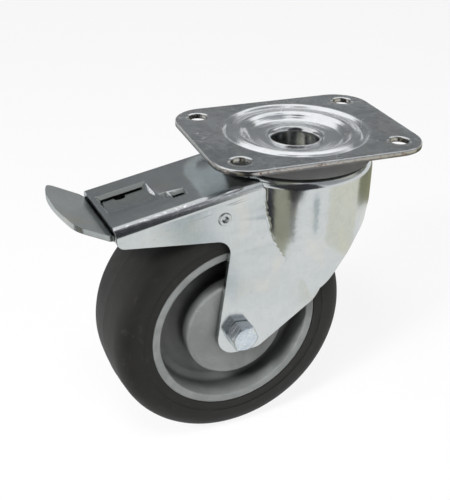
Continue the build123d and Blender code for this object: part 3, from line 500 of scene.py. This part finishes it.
def plate_marks_effect():
    """The plate's press marks. Height: fine rings r = sqrt(x x + y y) and a flank in the stamping, and a soft dip round
    each hole. Polish: the stamping's rubbed face."""
    inputs = {"Rings": 0.4, "Dip": 1.0, "Flank": 2.3}
    tree, ins, outs = effect("plate_marks", inputs, ("Height", "Polish"))
    place = own_place(tree)
    flat = vector_node(tree, "MULTIPLY", place, (1.0, 1.0, 0.0))
    r = vector_node(tree, "LENGTH", flat)
    wobble = times(tree, noise(tree, place, 25.0, 2.0), 0.004)
    around = node(tree, "ShaderNodeCombineXYZ", {0: r, 1: wobble}).outputs[0]
    rings = times(tree, noise(tree, around, 700.0, 2.0, 0.6), fall(tree, r, *RING_FADE))
    from_hole = vector_node(tree, "SUBTRACT", vector_node(tree, "ABSOLUTE", flat), PLATE_HOLE)
    dip = span(tree, vector_node(tree, "LENGTH", from_hole), *HOLE_DIP)
    flank = times(tree, fall(tree, r, *FLANK_FADE), ins["Flank"])
    height = plus(tree, times(tree, rings, ins["Rings"]), times(tree, dip, ins["Dip"]))
    link(tree, outs, {"Height": plus(tree, height, flank), "Polish": fall(tree, r, *POLISH_FADE)})
    return tree


def sheared_effect():
    """Sheared sheet edges: where the true normal lies nearly level, dark where torn, with rust-brown specks."""
    tree, ins, outs = effect("sheared_edge", {"Speck Scale": 420.0}, ("Mask", "Color"))
    normal = node(tree, "ShaderNodeNewGeometry").outputs["True Normal"]
    upright = math_node(tree, "ABSOLUTE", parts(tree, normal)[2])
    place = own_place(tree)
    outside = math_node(tree, "GREATER_THAN", vector_node(tree, "LENGTH", place), SHEARED_BEYOND)
    tear = plus(tree, parts(tree, place)[2], times(tree, noise(tree, place, 300.0, 2.0), 0.0012))
    base = blend(tree, span(tree, tear, *TEAR_FADE), TORN_TONE, SHEARED_TONE)
    specks = span(tree, noise(tree, place, ins["Speck Scale"], 3.0, 0.7), 0.56, 0.66)
    mask = times(tree, fall(tree, upright, 0.35, 0.75), outside)
    link(tree, outs, {"Mask": mask, "Color": blend(tree, specks, base, RUST_TONE)})
    return tree


def bend_wear_effect():
    """Die marks on the fork's housing, found from the normal in the piece's own frame. Mask and Color: duller plating
    with light specks drawn along the long bends, and dull floors and lips in the pressed pockets. Cut: the bare edges
    of their slits. Streak: lines along the sides, level with the roof."""
    tree, ins, outs = effect("bend_wear", {"Speck Scale": 900.0}, ("Mask", "Color", "Cut", "Streak"))
    coordinates = node(tree, "ShaderNodeTexCoord").outputs
    place = coordinates["Object"]
    x, _, z = parts(tree, place)
    lean_x, lean_y, lean_z = parts(tree, coordinates["Normal"])
    out_x, out_y, _ = parts(tree, vector_node(tree, "ABSOLUTE", place))
    housing = span(tree, out_x, *HOUSING_FADE)

    bend = times(tree, span(tree, lean_z, 0.45, 0.6), fall(tree, lean_z, 0.93, 0.97))
    bend = times(tree, bend, math_node(tree, "GREATER_THAN", out_y, BEND_BEYOND))
    floor = times(tree, span(tree, lean_y, 0.05, 0.09), math_node(tree, "GREATER_THAN", lean_z, 0.8))
    pocket = times(tree, math_node(tree, "LESS_THAN", out_y, POCKET_WITHIN), span(tree, out_x, *POCKET_FADE))
    lip = times(tree, fall(tree, lean_x, -0.6, -0.4), pocket)
    cut = times(tree, fall(tree, lean_y, -0.85, -0.7), pocket)
    mask = times(tree, math_node(tree, "MAXIMUM", times(tree, bend, 0.85), times(tree, floor, 0.3)), housing)
    mask = math_node(tree, "MAXIMUM", mask, math_node(tree, "MAXIMUM", times(tree, lip, 0.7), cut))

    drawn = vector_node(tree, "MULTIPLY", place, (0.35, 1.0, 1.0))
    specks = span(tree, noise(tree, drawn, ins["Speck Scale"], 3.0, 0.7), 0.52, 0.66)
    worn = blend(tree, specks, DIE_TONE, DIE_SPECK_TONE)

    over_roof = math_node(tree, "SUBTRACT", z, times(tree, x, ROOF_SLOPE))
    lines = node(tree, "ShaderNodeCombineXYZ", {0: times(tree, out_x, 0.05), 2: over_roof}).outputs[0]
    level = math_node(tree, "LESS_THAN", math_node(tree, "ABSOLUTE", lean_z), 0.3)
    streak = times(tree, span(tree, noise(tree, lines, 650.0, 2.0), 0.62, 0.68), level)
    streak = times(tree, streak, span(tree, over_roof, *STREAK_FADE), housing)
    link(tree, outs, {"Mask": mask, "Color": blend(tree, cut, worn, SLIT_TONE), "Cut": cut, "Streak": streak})
    return tree


def moulding_effect():
    """A moulded surface: fine spark grain, slow flow marks, a few scuffs, and painted shade in deep hollows from
    ambient occlusion.
    """
    inputs = {
        "Color": (0.3, 0.3, 0.3, 1),
        "Scuff Color": (0.5, 0.5, 0.5, 1),
        "Scuff Amount": 0.2,
        "Grain Scale": 2500.0,
        "Roughness": 0.5,
        "Painted Shade": 0.85,
    }
    tree, ins, outs = effect("moulded_surface", inputs, ("Color", "Roughness", "Height"))
    place = own_place(tree)
    flow = noise(tree, place, 45.0, 4.0, 0.6, 1.2)
    scuff = times(tree, span(tree, noise(tree, place, 120.0, 6.0, 0.7, 2.0), 0.55, 0.75), ins["Scuff Amount"])
    shade = span(tree, flow, 0.3, 0.7, 0.86, 1.12)
    grey = node(tree, "ShaderNodeCombineColor", {0: shade, 1: shade, 2: shade}).outputs[0]
    base = blend(tree, 1.0, ins["Color"], grey, "MULTIPLY")
    worn = blend(tree, scuff, base, ins["Scuff Color"])
    # Painted shade: the colour goes towards black where ambient occlusion finds surfaces close by
    openness = node(tree, "ShaderNodeAmbientOcclusion", {"Distance": PAINTED_SHADE_REACH}).outputs["AO"]
    painted_shade = times(tree, fall(tree, openness, 0.2, 0.62), ins["Painted Shade"])
    uneven = times(tree, math_node(tree, "SUBTRACT", flow, 0.5), 0.3)
    rough = plus(tree, plus(tree, ins["Roughness"], uneven), times(tree, scuff, 0.3), clamp=True)
    grain = noise(tree, place, ins["Grain Scale"], 2.0)
    link(tree, outs, {"Color": blend(tree, painted_shade, worn, PAINTED_SHADE_TONE), "Roughness": rough, "Height": grain})
    return tree


EFFECT_MAKERS = {
    "zinc": zinc_effect,
    "worn_and_lit_edges": edge_wear_and_highlight_effect,
    "moulding": moulding_effect,
    "plate_marks": plate_marks_effect,
    "sheared": sheared_effect,
    "bend_wear": bend_wear_effect,
}
EFFECTS = {}


def effect_node(tree, name, values=None):
    """A node for the effect of that name, whose group is made on first use."""
    if name not in EFFECTS:
        EFFECTS[name] = EFFECT_MAKERS[name]()
    return node(tree, "ShaderNodeGroup", values, node_tree=EFFECTS[name])


# Materials


def emptied(block):
    """The node tree of a material or world, without nodes."""
    block.use_nodes = True
    block.node_tree.nodes.clear()
    return block.node_tree


def bare_material(name):
    """A material with only a Principled shader and its output."""
    material = bpy.data.materials.new(name)
    tree = emptied(material)
    shader = tree.nodes.new("ShaderNodeBsdfPrincipled")
    node(tree, "ShaderNodeOutputMaterial", {"Surface": shader.outputs[0]})
    return material, tree, shader


def reopened(material):
    """A finished material's tree, its shader, and the sockets that feed its colour and its normal."""
    tree = material.node_tree
    shader = next(part for part in tree.nodes if part.bl_idname == "ShaderNodeBsdfPrincipled")
    return tree, shader, *(shader.inputs[key].links[0].from_socket for key in ("Base Color", "Normal"))


def metal(
    name,
    light,
    dark,
    tint,
    tint_amount=0.3,
    cloud=30.0,
    crystal=900.0,
    lines=(1, 0.06, 1),
    roughness=0.3,
    uneven=0.35,
    pits=0.3,
    scratches=0.3,
    relief=0.02,
    edge=0.5,
    edge_width=0.0006,
    metallic=1.0,
):
    """Plated steel: zinc plating with brighter edges, partly rubbed wear and partly a painted edge highlight."""
    material, tree, shader = bare_material(name)
    values = {
        "Light": colour(light),
        "Dark": colour(dark),
        "Tint": colour(tint),
        "Tint Amount": tint_amount,
        "Cloud Scale": cloud,
        "Crystal Scale": crystal,
        "Line Direction": lines,
        "Roughness": roughness,
        "Unevenness": uneven,
        "Pits": pits,
        "Scratches": scratches,
    }
    plating = effect_node(tree, "zinc", values).outputs
    worn_and_lit_edges = effect_node(tree, "worn_and_lit_edges", {"Amount": edge, "Width": edge_width}).outputs
    # The edges go towards a lighter tone: partly rubbed plating, partly a painted highlight
    worn_and_lit_edge_tone = tuple(min(1.0, part * 1.25 + 0.05) for part in light)
    base = blend(tree, worn_and_lit_edges["Mask"], plating["Color"], colour(worn_and_lit_edge_tone))
    values = {"Strength": relief, "Distance": PLATING_RELIEF, "Height": plating["Height"], "Normal": worn_and_lit_edges["Normal"]}
    bump = node(tree, "ShaderNodeBump", values).outputs[0]
    link(tree, shader, {"Base Color": base, "Roughness": plating["Roughness"], "Normal": bump})
    shader.inputs["Metallic"].default_value = metallic
    return material


def moulded(name, base, scuff, scuff_amount=0.2, grain=2500.0, roughness=0.5, relief=0.1, specular=0.5):
    """Moulded plastic or rubber."""
    material, tree, shader = bare_material(name)
    values = {
        "Color": colour(base),
        "Scuff Color": colour(scuff),
        "Scuff Amount": scuff_amount,
        "Grain Scale": grain,
        "Roughness": roughness,
    }
    surface = effect_node(tree, "moulding", values).outputs
    values = {"Strength": relief, "Distance": MOULDED_RELIEF, "Height": surface["Height"]}
    bump = node(tree, "ShaderNodeBump", values).outputs[0]
    link(tree, shader, {"Base Color": surface["Color"], "Roughness": surface["Roughness"], "Normal": bump})
    shader.inputs["Specular IOR Level"].default_value = specular
    return material


def keep_flat(piece):
    """Lets a piece's largest faces set the normals, so that flat sheet looks flat."""
    flat = piece.modifiers.new("flat_faces", "WEIGHTED_NORMAL")
    flat.mode = "FACE_AREA"
    flat.weight = 100
    flat.keep_sharp = True


def finish_node(name, material):
    """Gives a CAD node its material."""
    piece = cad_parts[name]
    piece.data.materials.clear()
    piece.data.materials.append(material)
    keep_flat(piece)


# Settings


def colour_setting(name, description, default):
    """A colour that the panel shows."""
    return bpy.props.FloatVectorProperty(name=name, description=description, subtype="COLOR", size=3, default=default)


def angle_setting(name, description, degrees):
    """An angle that the panel shows, given here in degrees."""
    return bpy.props.FloatProperty(name=name, description=description, subtype="ANGLE", default=math.radians(degrees))


class CastorMetalSettings(bpy.types.PropertyGroup):
    """Colours of the plated steel"""

    plate_light: colour_setting("Plate Light", "Lighter zinc of the top plate", (0.84, 0.85, 0.86))
    plate_dark: colour_setting("Plate Dark", "Darker zinc of the top plate", (0.6, 0.62, 0.63))
    fork_light: colour_setting("Fork Light", "Lighter zinc of the fork", (0.6, 0.625, 0.63))
    fork_dark: colour_setting("Fork Dark", "Darker zinc of the fork", (0.54, 0.57, 0.575))
    lever_light: colour_setting("Lever Light", "Lighter zinc of the brake pedal", (0.5, 0.53, 0.53))
    lever_dark: colour_setting("Lever Dark", "Darker zinc of the brake pedal", (0.39, 0.42, 0.42))


class CastorWheelSettings(bpy.types.PropertyGroup):
    """Sizes and colours of the wheel"""

    segments: bpy.props.IntProperty(
        name="Segments", description="Steps around the wheel", default=192, min=48, max=400
    )
    tyre_colour: colour_setting("Tyre", "Colour of the rubber", (0.0135, 0.013, 0.012))
    plastic_colour: colour_setting("Wheel Centre", "Colour of the moulded wheel centre", (0.2, 0.212, 0.208))
    cap_colour: colour_setting("Hub Caps", "Colour of the two hub caps", (0.168, 0.178, 0.174))
    hex_across_flats: bpy.props.FloatProperty(
        name="Hexagon", description="Width of bolt head and nut across flats", unit="LENGTH", default=13.0 * MM
    )


class CastorStudioSettings(bpy.types.PropertyGroup):
    """Floor, lamps and camera"""

    lens: bpy.props.FloatProperty(name="Lens", description="Camera lens", unit="CAMERA", default=63.2)
    azimuth: angle_setting("Azimuth", "Camera direction round the castor", -20.47)
    elevation: angle_setting("Elevation", "Camera height above the horizon", 28.52)
    roll: angle_setting("Roll", "Camera turn about its own line of sight", 0.82)
    place: bpy.props.FloatVectorProperty(
        name="Place", description="Camera place", subtype="TRANSLATION", size=3, default=(-0.1722, -0.3657, 0.1512)
    )
    floor_white: bpy.props.FloatProperty(
        name="Floor White", description="Share of plain white in the floor", subtype="FACTOR", default=0.88
    )
    sky: bpy.props.FloatProperty(name="Sky", description="Strength of the soft light from all round", default=0.18)
    key: bpy.props.FloatProperty(name="Key", description="Power of the key lamp in watts", default=13.0)


# Operators


class CASTOR_OT_plate(bpy.types.Operator):
    """Finishes the top plate, its rivet and the ring under it"""

    bl_idname = "castor.plate"
    bl_label = "Top Plate"

    def execute(self, context):
        s = context.scene.castor_metal
        plate = metal(
            "plate_zinc", s.plate_light, s.plate_dark, PLATE_TINT,
            tint_amount=0.2, cloud=26, crystal=1400, lines=(1, 0.08, 1), roughness=0.2, uneven=0.2, pits=0.2,
            scratches=0.5, relief=0.006, edge=0.8,
        )
        tree, shader, plated, fine = reopened(plate)
        marks = effect_node(tree, "plate_marks").outputs
        sheared = effect_node(tree, "sheared").outputs
        values = {"Strength": 1.0, "Distance": PRESSED_RELIEF, "Height": marks["Height"], "Normal": fine}
        pressed = node(tree, "ShaderNodeBump", values).outputs[0]
        polished = blend(tree, times(tree, marks["Polish"], 0.7), plated, POLISH_TONE)
        edged = blend(tree, sheared["Mask"], polished, sheared["Color"])
        link(tree, shader, {"Base Color": edged, "Normal": pressed})
        finish_node("top_plate", plate)

        rivet = metal(
            "rivet_zinc", s.plate_light, s.plate_dark, PLATE_TINT,
            tint_amount=0.2, cloud=60, crystal=1400, lines=(1, 1, 0.1), roughness=0.18, uneven=0.15,
            relief=0.01, edge=0.7,
        )
        finish_node("king_rivet", rivet)
        # The seal's grey is darker than the wheel centre's grey plastic: painted shade for the shade under the plate
        tones = (0.115, 0.118, 0.115), (0.2, 0.2, 0.2)
        seal = moulded("seal_plastic", *tones, scuff_amount=0.25, grain=3000, roughness=0.55, relief=0.08)
        finish_node("dust_seal", seal)
        return {"FINISHED"}


class CASTOR_OT_fork(bpy.types.Operator):
    """Finishes the pressed fork, trims its front edge, and finishes its pivot rivets"""

    bl_idname = "castor.fork"
    bl_label = "Fork"

    def execute(self, context):
        s = context.scene.castor_metal
        fork = metal(
            "fork_zinc", s.fork_light, s.fork_dark, (0.72, 0.69, 0.55),
            tint_amount=0.25, cloud=16, crystal=1200, lines=(1, 1, 0.05), roughness=0.17, uneven=0.1, pits=0.5,
            scratches=0.12, relief=0.005, edge=0.9, edge_width=0.0003,
        )
        tree, shader, plated, _ = reopened(fork)
        wear = effect_node(tree, "bend_wear").outputs
        streaked = blend(tree, times(tree, wear["Streak"], 0.5), plated, STREAK_TONE)
        worn = blend(tree, wear["Mask"], streaked, wear["Color"])
        link(tree, shader, {"Base Color": worn, "Metallic": math_node(tree, "SUBTRACT", 1.0, wear["Cut"])})

        mesh = cut_away(merged_copy("fork"), front_cutter(), "fork_pressing")
        mesh.materials.clear()
        piece = new_piece("fork_pressing", mesh, "fork", "fork", fork, sharp=30.0)
        keep_flat(piece)

        pin = metal(
            "pin_zinc", s.fork_light, s.fork_dark, (0.5, 0.5, 0.5),
            tint_amount=0.1, cloud=80, crystal=1500, lines=(1, 1, 1), roughness=0.28, relief=0.03,
        )
        finish_node("pivot_rivets", pin)
        return {"FINISHED"}


class CASTOR_OT_lever(bpy.types.Operator):
    """Finishes the brake lever, its shoe, leaf and rivets"""

    bl_idname = "castor.lever"
    bl_label = "Brake Lever"

    def execute(self, context):
        s = context.scene.castor_metal
        lever = metal(
            "lever_zinc", s.lever_light, s.lever_dark, (0.5, 0.46, 0.38),
            cloud=40, crystal=1100, lines=(0.06, 1, 1), roughness=0.32, relief=0.04, edge=0.7,
        )
        for name in ("brake_lever", "shoe_rivets", "spring_rivet"):
            finish_node(name, lever)
        shoe = moulded("shoe_rubber", (0.03, 0.03, 0.03), (0.1, 0.1, 0.1), grain=2000, roughness=0.7)
        finish_node("brake_shoe", shoe)
        spring = metal(
            "spring_steel", (0.5, 0.5, 0.52), (0.4, 0.4, 0.42), (0.4, 0.42, 0.5),
            cloud=60, crystal=1500, lines=(0.05, 1, 1), roughness=0.25,
        )
        finish_node("detent_spring", spring)
        return {"FINISHED"}


class CASTOR_OT_bearings(bpy.types.Operator):
    """Finishes the bearing parts and the axle's hidden pieces"""

    bl_idname = "castor.bearings"
    bl_label = "Bearings"

    def execute(self, context):
        steel = metal(
            "bearing_steel", (0.55, 0.55, 0.56), (0.42, 0.42, 0.43), (0.5, 0.46, 0.4),
            tint_amount=0.2, cloud=80, crystal=1800, lines=(1, 1, 1), roughness=0.2, relief=0.01, edge=0.3,
        )
        names = (
            "race_spacer lock_ring upper_balls lower_balls axle_sleeve leg_washers bearing_spacer "
            "bearing_inner_rings bearing_outer_rings bearing_balls"
        )
        for name in names.split():
            finish_node(name, steel)
        return {"FINISHED"}


class CASTOR_OT_wheel_centre(bpy.types.Operator):
    """Builds the moulded wheel centre and its two hub caps"""

    bl_idname = "castor.wheel_centre"
    bl_label = "Wheel Centre"

    def execute(self, context):
        s = context.scene.castor_wheel
        tones = s.plastic_colour, PLASTIC_SCUFF
        plastic = moulded("wheel_plastic", *tones, scuff_amount=0.25, grain=2600, roughness=0.42, relief=0.06)
        half = [
            (8.5, 16.5, 0),
            (8.5, 17.5, 0.1),
            (19.6, 17.5, 0.4),
            (19.6, 24.6, 0.5),
            (7.2, 25.0, 3.0),
            (6.2, 30.5, 4.0),
            (5.9, 36.0, 4.0),
            (7.6, 39.6, 2.6),
            (20.8, 40.1, 0.7),
            (20.8, 44.4, 0.5),
            (8.0, 44.4, 0.4),
            (8.0, 47.5, 0.4),
        ]
        mesh = wheel_ring("wheel_centre_moulding", half + mirrored(half), s.segments)
        new_piece("wheel_centre_moulding", mesh, "wheel", "wheel_centre", plastic)

        tones = s.cap_colour, PLASTIC_SCUFF
        cap_plastic = moulded("cap_plastic", *tones, grain=2600, roughness=0.36, relief=0.05)
        cap = [
            (19.7, 10.2, 0),
            (21.1, 10.2, 0.3),
            (21.1, 26.2, 1.6),
            (14.1, 26.2, 0.3),
            (14.1, 24.8, 0),
            (19.7, 24.8, 0.4),
        ]
        for name, corners in (("near", mirrored(cap)), ("far", cap)):
            mesh = wheel_ring("hub_cap_moulding_" + name, corners, s.segments)
            new_piece("hub_cap_moulding_" + name, mesh, "wheel", "hub_cap_" + name, cap_plastic)
        return {"FINISHED"}


class CASTOR_OT_tyre(bpy.types.Operator):
    """Builds the rubber tyre with its bead step, round shoulders and low crown"""

    bl_idname = "castor.tyre"
    bl_label = "Tyre"

    def execute(self, context):
        s = context.scene.castor_wheel
        rubber = moulded(
            "tyre_rubber", s.tyre_colour, (0.09, 0.085, 0.08),
            scuff_amount=0.3, grain=1600, roughness=0.62, relief=0.12, specular=0.35,
        )
        half = [
            (8.0, 47.5, 0),
            (8.0, 44.4, 0),
            (21.1, 44.4, 0.3),
            (21.1, 48.9, 0.25),
            (21.6, 49.3, 0.25),
            (21.6, 61.2, 9.0),
            (7.0, 62.25, 30.0),
            (0.6, 62.45, 0.1),
            (0.25, 62.5, 0.1),
        ]
        mesh = wheel_ring("tyre_rubber", half + mirrored(half), s.segments, steps=9)
        new_piece("tyre_moulding", mesh, "wheel", "tyre", rubber)
        return {"FINISHED"}


class CASTOR_OT_axle_bolt(bpy.types.Operator):
    """Builds the hexagon bolt with its thread, and the lock nut"""

    bl_idname = "castor.axle_bolt"
    bl_label = "Axle Bolt"

    def execute(self, context):
        s = context.scene.castor_wheel
        zinc = metal(
            "bolt_zinc", (0.69, 0.72, 0.74), (0.47, 0.53, 0.58), (0.5, 0.6, 0.72),
            tint_amount=0.15, cloud=90, crystal=1500, lines=(1, 1, 1), roughness=0.24, relief=0.03, edge=0.6,
            metallic=0.85,
        )
        t = np.linspace(0, TURN, BOLT_STEPS, endpoint=False)
        across = s.hex_across_flats / MM
        corner = hexagon(t - BOLT_TURN, across)
        chamfer = BOLT_FACE + (corner - BOLT_FACE_RADIUS) * HEX_CHAMFER
        y = np.arange(*THREAD_ENDS, -THREAD_PITCH / THREAD_STEPS)
        rows = [
            (35.5, 0.0),
            (35.5, 3.1),
            (35.2, 3.35),
            *zip(y, thread(y, t)),
            (25.1, BOLT_RADIUS),
            (-24.9, BOLT_RADIUS),
            (-24.9, 6.05),
            (-25.35, 6.1),
            (-25.4, 6.25),
            (-25.4, corner - 0.25),
            (-25.6, corner),
            (BOLT_GROOVE + 0.22, corner),
            (BOLT_GROOVE + 0.14, corner - 0.3),
            (BOLT_GROOVE - 0.14, corner - 0.3),
            (BOLT_GROOVE - 0.22, corner),
            (chamfer + 0.15, corner),
            (chamfer, corner - 0.1),
            (BOLT_FACE + 0.12, BOLT_FACE_RADIUS + 0.2),
            (BOLT_FACE, BOLT_FACE_RADIUS - 0.1),
            (BOLT_FACE, 4.9),
            (BOLT_FACE + 0.1, 4.65),
            (BOLT_FACE + 0.12, 2.0),
            (BOLT_FACE + 0.12, 0.0),
        ]
        mesh = grid_mesh("axle_bolt_turned", axle_turned(rows, t), close_columns=True)
        new_piece("axle_bolt_turned", mesh, "fork", "axle_bolt", zinc, sharp=32.0)

        corner = hexagon(t, across)
        low = NUT_BASE + (corner - 6.0) * HEX_CHAMFER
        high = NUT_TOP - (corner - 6.2) * HEX_CHAMFER
        rows = [
            (NUT_BASE, 4.35),
            (NUT_BASE, 6.0),
            (low, corner - 0.05),
            (low + 0.1, corner),
            (high - 0.1, corner),
            (high, corner - 0.05),
            (NUT_TOP, 6.2),
            (NUT_TOP + 0.1, 6.1),
            (32.5, 6.1),
            (33.0, 5.6),
            (33.0, 4.35),
            (32.6, 4.05),
            (NUT_BASE + 0.4, 4.05),
        ]
        mesh = grid_mesh("axle_nut_turned", axle_turned(rows, t), True, True)
        new_piece("axle_nut_turned", mesh, "fork", "axle_nut", zinc, sharp=32.0)
        return {"FINISHED"}


# The stage


def camera_matrix(settings):
    """The camera's place and its right, up and back directions, from azimuth, elevation and roll."""
    a, e, roll = settings.azimuth, settings.elevation, settings.roll
    back = Vector((math.sin(a) * math.cos(e), -math.cos(a) * math.cos(e), math.sin(e)))
    right = Vector((math.cos(a), math.sin(a), 0.0))
    up = back.cross(right)
    turned_right = right * math.cos(roll) + up * math.sin(roll)
    turned_up = up * math.cos(roll) - right * math.sin(roll)
    matrix = Matrix((turned_right, turned_up, back)).transposed().to_4x4()
    matrix.translation = settings.place
    return matrix


def stage_object(name, mesh, material):
    """A mesh that belongs to the stage."""
    mesh.materials.append(material)
    made = bpy.data.objects.new(name, mesh)
    bpy.context.scene.collection.objects.link(made)
    return made


def direct_rays(tree, *kinds):
    """1 for rays from the camera or off a shiny surface, or of the kinds that are named, and 0 for others."""
    rays = node(tree, "ShaderNodeLightPath").outputs
    seen = math_node(tree, "MAXIMUM", rays["Is Camera Ray"], rays["Is Glossy Ray"])
    for kind in kinds:
        seen = math_node(tree, "MAXIMUM", seen, rays[kind])
    return seen


def white_floor(share):
    """A flat square under the wheel, white where it is seen or reflected, and grey paper to other light."""
    material = bpy.data.materials.new("floor_white")
    tree = emptied(material)
    paper = node(tree, "ShaderNodeBsdfDiffuse", {"Color": (0.92, 0.92, 0.92, 1)})
    white = node(tree, "ShaderNodeEmission", {"Color": (1, 1, 1, 1), "Strength": 1.0})
    share = times(tree, direct_rays(tree), share)
    mix = node(tree, "ShaderNodeMixShader", {0: share, 1: paper.outputs[0], 2: white.outputs[0]})
    node(tree, "ShaderNodeOutputMaterial", {"Surface": mix.outputs[0]})
    square = np.array([[[-1, -1, 0], [-1, 1, 0]], [[1, -1, 0], [1, 1, 0]]], float) * FLOOR_SIZE / 2
    stage_object("floor", grid_mesh("floor", square + np.array((0, 0, FLOOR_Z * MM))), material)


def glowing(name, near_tone, far_tone):
    """A plain glow that fades from one colour to another."""
    material = bpy.data.materials.new(name)
    tree = emptied(material)
    fade = node(tree, "ShaderNodeAttribute", attribute_name="fade").outputs["Fac"]
    tone = blend(tree, fade, colour(near_tone), colour(far_tone))
    light = node(tree, "ShaderNodeEmission", {"Color": tone, "Strength": 1.0})
    node(tree, "ShaderNodeOutputMaterial", {"Surface": light.outputs[0]})
    return material


def round_card(name, near, far, material):
    """A card bent round the swivel axis, x = r cos a and y = r sin a. Its bearings, r and z go straight from the near
    edge, where the attribute named fade is 0, to the far one, where it is 1. Only shiny surfaces show the card."""
    u, v = np.meshgrid(*(np.linspace(0, 1, steps) for steps in CARD_STEPS), indexing="ij")
    ends = [np.radians(end[0][0] + (end[0][1] - end[0][0]) * u) for end in (near, far)]
    a = ends[0] + (ends[1] - ends[0]) * v
    r = near[1] + (far[1] - near[1]) * v
    z = near[2] + (far[2] - near[2]) * v
    mesh = grid_mesh(name, np.stack([r * np.cos(a), r * np.sin(a), z], -1))
    fade = mesh.attributes.new("fade", "FLOAT", "POINT")
    fade.data.foreach_set("value", v.reshape(-1).astype(np.float32))
    card = stage_object(name, mesh, material)
    card.visible_camera = False
    card.visible_diffuse = False
    card.visible_shadow = False
    card.visible_transmission = False


def studio_world(sky):
    """A world that is white to the eye and in reflections, and lights the rest softly with the strength given."""
    world = bpy.data.worlds.new("studio")
    tree = emptied(world)
    strength = plus(tree, times(tree, direct_rays(tree, "Is Transmission Ray"), 1.0 - sky), sky)
    light = node(tree, "ShaderNodeBackground", {"Color": (1, 1, 1, 1), "Strength": strength})
    node(tree, "ShaderNodeOutputWorld", {"Surface": light.outputs[0]})
    return world


class CASTOR_OT_stage(bpy.types.Operator):
    """Sets the floor, the lamps, the cards that the metal reflects, and the camera"""

    bl_idname = "castor.stage"
    bl_label = "Studio"

    def execute(self, context):
        s = context.scene.castor_studio
        white_floor(s.floor_white)
        for name, near, far, near_tone, far_tone in CARDS:
            round_card(name, near, far, glowing(name, near_tone, far_tone))
        context.scene.world = studio_world(s.sky)

        for name, place, size, share in LAMPS:
            data = bpy.data.lights.new(name, "AREA")
            data.size = size
            data.energy = s.key * share
            lamp = bpy.data.objects.new(name, data)
            context.scene.collection.objects.link(lamp)
            lamp.visible_glossy = False
            aim = Vector(LAMP_AIM) - Vector(place)
            lamp.matrix_world = Matrix.Translation(place) @ aim.to_track_quat("-Z", "Y").to_matrix().to_4x4()

        data = bpy.data.cameras.new("camera")
        data.lens = s.lens
        data.sensor_width = SENSOR_WIDTH
        data.clip_start, data.clip_end = 0.01, 50.0
        camera = bpy.data.objects.new("camera", data)
        context.scene.collection.objects.link(camera)
        camera.matrix_world = camera_matrix(s)
        context.scene.camera = camera
        context.scene.view_settings.view_transform = "Standard"
        return {"FINISHED"}


class CASTOR_PT_panel(bpy.types.Panel):
    """Lists the castor's operators and settings"""

    bl_label = "Swivel Castor"
    bl_space_type = "VIEW_3D"
    bl_region_type = "UI"
    bl_category = "Castor"

    def draw(self, context):
        for operator in OPERATORS:
            self.layout.operator(operator.bl_idname)
        for group in (context.scene.castor_metal, context.scene.castor_wheel, context.scene.castor_studio):
            box = self.layout.box()
            for key in group.__annotations__:
                box.prop(group, key)


OPERATORS = (
    CASTOR_OT_plate,
    CASTOR_OT_fork,
    CASTOR_OT_lever,
    CASTOR_OT_bearings,
    CASTOR_OT_wheel_centre,
    CASTOR_OT_tyre,
    CASTOR_OT_axle_bolt,
    CASTOR_OT_stage,
)
GROUPS = {
    "castor_metal": CastorMetalSettings,
    "castor_wheel": CastorWheelSettings,
    "castor_studio": CastorStudioSettings,
}


def register():
    """Registers the settings, operators and panel."""
    for name, group in GROUPS.items():
        bpy.utils.register_class(group)
        setattr(bpy.types.Scene, name, bpy.props.PointerProperty(type=group))
    for operator in OPERATORS:
        bpy.utils.register_class(operator)
    bpy.utils.register_class(CASTOR_PT_panel)


def unregister():
    """Removes them again."""
    bpy.utils.unregister_class(CASTOR_PT_panel)
    for operator in reversed(OPERATORS):
        bpy.utils.unregister_class(operator)
    for name, group in GROUPS.items():
        delattr(bpy.types.Scene, name)
        bpy.utils.unregister_class(group)


def main():
    """Builds every piece in order."""
    register()
    bpy.ops.castor.plate()
    bpy.ops.castor.fork()
    bpy.ops.castor.lever()
    bpy.ops.castor.bearings()
    bpy.ops.castor.wheel_centre()
    bpy.ops.castor.tyre()
    bpy.ops.castor.axle_bolt()
    bpy.ops.castor.stage()


if __name__ == "__main__":
    main()
